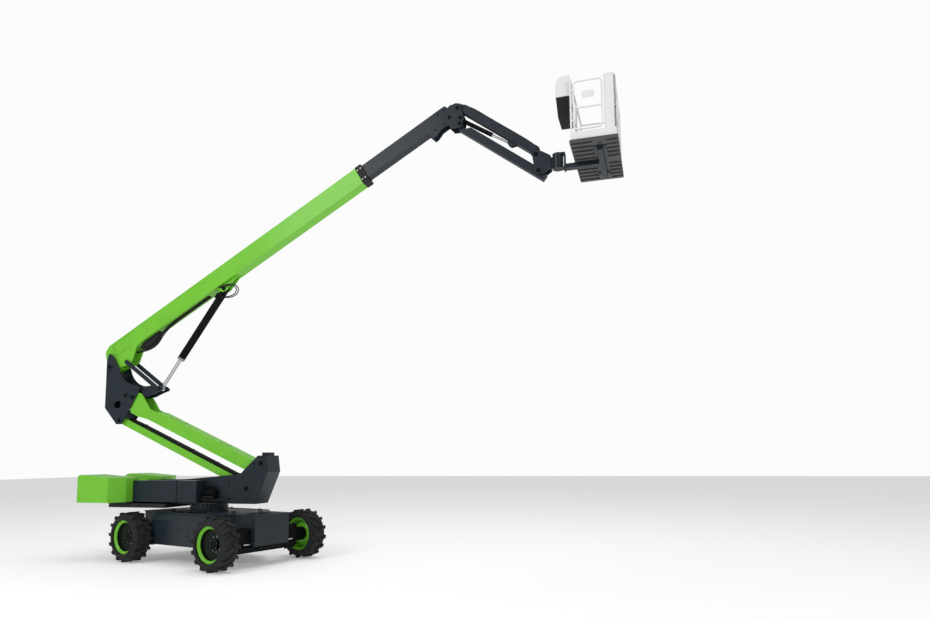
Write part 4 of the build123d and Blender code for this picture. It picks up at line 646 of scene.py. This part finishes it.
# Platform: floor tread, corner panels, blank plate and console levers
TREAD_ROWS = 13
TREAD_BARS = 30
tread = Piece("floor_tread", "platform", ALUMINIUM, TABLE)
for i in range(TREAD_ROWS):
    for k in range(TREAD_BARS):
        x = FLOOR_X[0] + 0.06 + 0.055 * i
        y = -0.84 + 0.058 * k
        tread.box((x, FLOOR_Z + 0.006, y), (x + 0.03, FLOOR_Z + 0.009, y + 0.008))
tread.done()
corner = Piece("corner_panel", "platform", WHITE, TABLE)
corner.box((8.035, 7.335, 0.882), (8.175, 8.245, 0.886), 0.001)
corner.box((8.205, 7.335, 0.70), (8.209, 8.245, 0.86), 0.001)
corner.done()

blank = Piece("blank_plate", "platform", WHITE, TABLE)
blank.box((7.66, 7.90, 0.872), (7.86, 8.02, 0.878), 0.002)
blank.done()

LEVER_Y = (0.45, 0.65)
levers = Piece("console_levers", "platform", PLASTIC, TABLE)
for y in LEVER_Y:
    levers.rod((7.40, 8.395, y), (7.41, 8.46, y), 0.012, 16, 0.009)
levers.done()


# Floor, light and camera
STUDIO_HALF = 60.0
LAMPS = (
    ("key", (-6.0, -14.0, 13.0), (-1.0, 0.0, 3.0), 850.0, 7.0),
    ("top", (2.0, 2.0, 19.0), (0.0, 0.0, 2.0), 800.0, 9.0),
    ("rim", (12.0, -7.0, 9.0), (0.0, 0.0, 3.5), 260.0, 6.0),
)


def studio():
    """Pale floor, plain world light with a white backdrop for the camera, and three soft lamps"""
    floor_mesh = bpy.data.meshes.new("studio_floor")
    build = bmesh.new()
    bmesh.ops.create_grid(build, x_segments=1, y_segments=1, size=STUDIO_HALF)
    build.to_mesh(floor_mesh)
    build.free()
    floor = bpy.data.objects.new("studio_floor", floor_mesh)
    bpy.context.scene.collection.objects.link(floor)
    pale = bpy.data.materials.new("studio_pale")
    pale.use_nodes = True
    shader = pale.node_tree.nodes["Principled BSDF"]
    shader.inputs["Base Color"].default_value = (0.9, 0.9, 0.9, 1)
    shader.inputs["Emission Color"].default_value = (1.0, 1.0, 1.0, 1)
    shader.inputs["Emission Strength"].default_value = 0.22
    shader.inputs["Roughness"].default_value = 0.8
    floor_mesh.materials.append(pale)
    world = bpy.data.worlds.new("studio_world")
    bpy.context.scene.world = world
    world.use_nodes = True
    tree = world.node_tree
    sky = tree.nodes["Background"]
    sky.inputs["Color"].default_value = (1.0, 1.0, 1.0, 1)
    sky.inputs["Strength"].default_value = 0.5
    backdrop = tree.nodes.new("ShaderNodeBackground")
    backdrop.inputs["Color"].default_value = (0.97, 0.97, 0.97, 1)
    backdrop.inputs["Strength"].default_value = 1.0
    view = tree.nodes.new("ShaderNodeLightPath")
    choose = tree.nodes.new("ShaderNodeMixShader")
    tree.links.new(view.outputs["Is Camera Ray"], choose.inputs["Fac"])
    tree.links.new(sky.outputs["Background"], choose.inputs[1])
    tree.links.new(backdrop.outputs["Background"], choose.inputs[2])
    tree.links.new(choose.outputs["Shader"], tree.nodes["World Output"].inputs["Surface"])
    for name, place, aim, power, size in LAMPS:
        lamp = bpy.data.lights.new(name, "AREA")
        lamp.energy = power
        lamp.size = size
        obj = bpy.data.objects.new(name, lamp)
        obj.location = place
        obj.rotation_euler = (Vector(aim) - Vector(place)).to_track_quat("-Z", "Y").to_euler()
        bpy.context.scene.collection.objects.link(obj)


CAMERA_PLACE = SLEW + Vector((8.70, -12.14, 1.9526))
CAMERA_TURN = radians(17.23)
CAMERA_PITCH = 0.10823
CAMERA_ROLL = -0.0075


def camera():
    """Camera fitted to the photograph: place, turn, pitch, roll, lens and shift"""
    data = bpy.data.cameras.new("camera")
    data.sensor_width = 36.0
    data.lens = 27.014
    data.shift_x = 0.0230
    data.shift_y = 0.0772
    data.clip_end = 200.0
    obj = bpy.data.objects.new("camera", data)
    level = Vector((-sin(CAMERA_TURN), cos(CAMERA_TURN), 0))
    look = level * cos(CAMERA_PITCH) + Vector((0, 0, sin(CAMERA_PITCH)))
    turn = look.to_track_quat("-Z", "Y").to_matrix() @ Matrix.Rotation(CAMERA_ROLL, 3, "Z")
    obj.matrix_world = Matrix.Translation(CAMERA_PLACE) @ turn.to_4x4()
    bpy.context.scene.collection.objects.link(obj)
    bpy.context.scene.camera = obj


studio()
camera()
bpy.context.scene.view_settings.view_transform = "Standard"
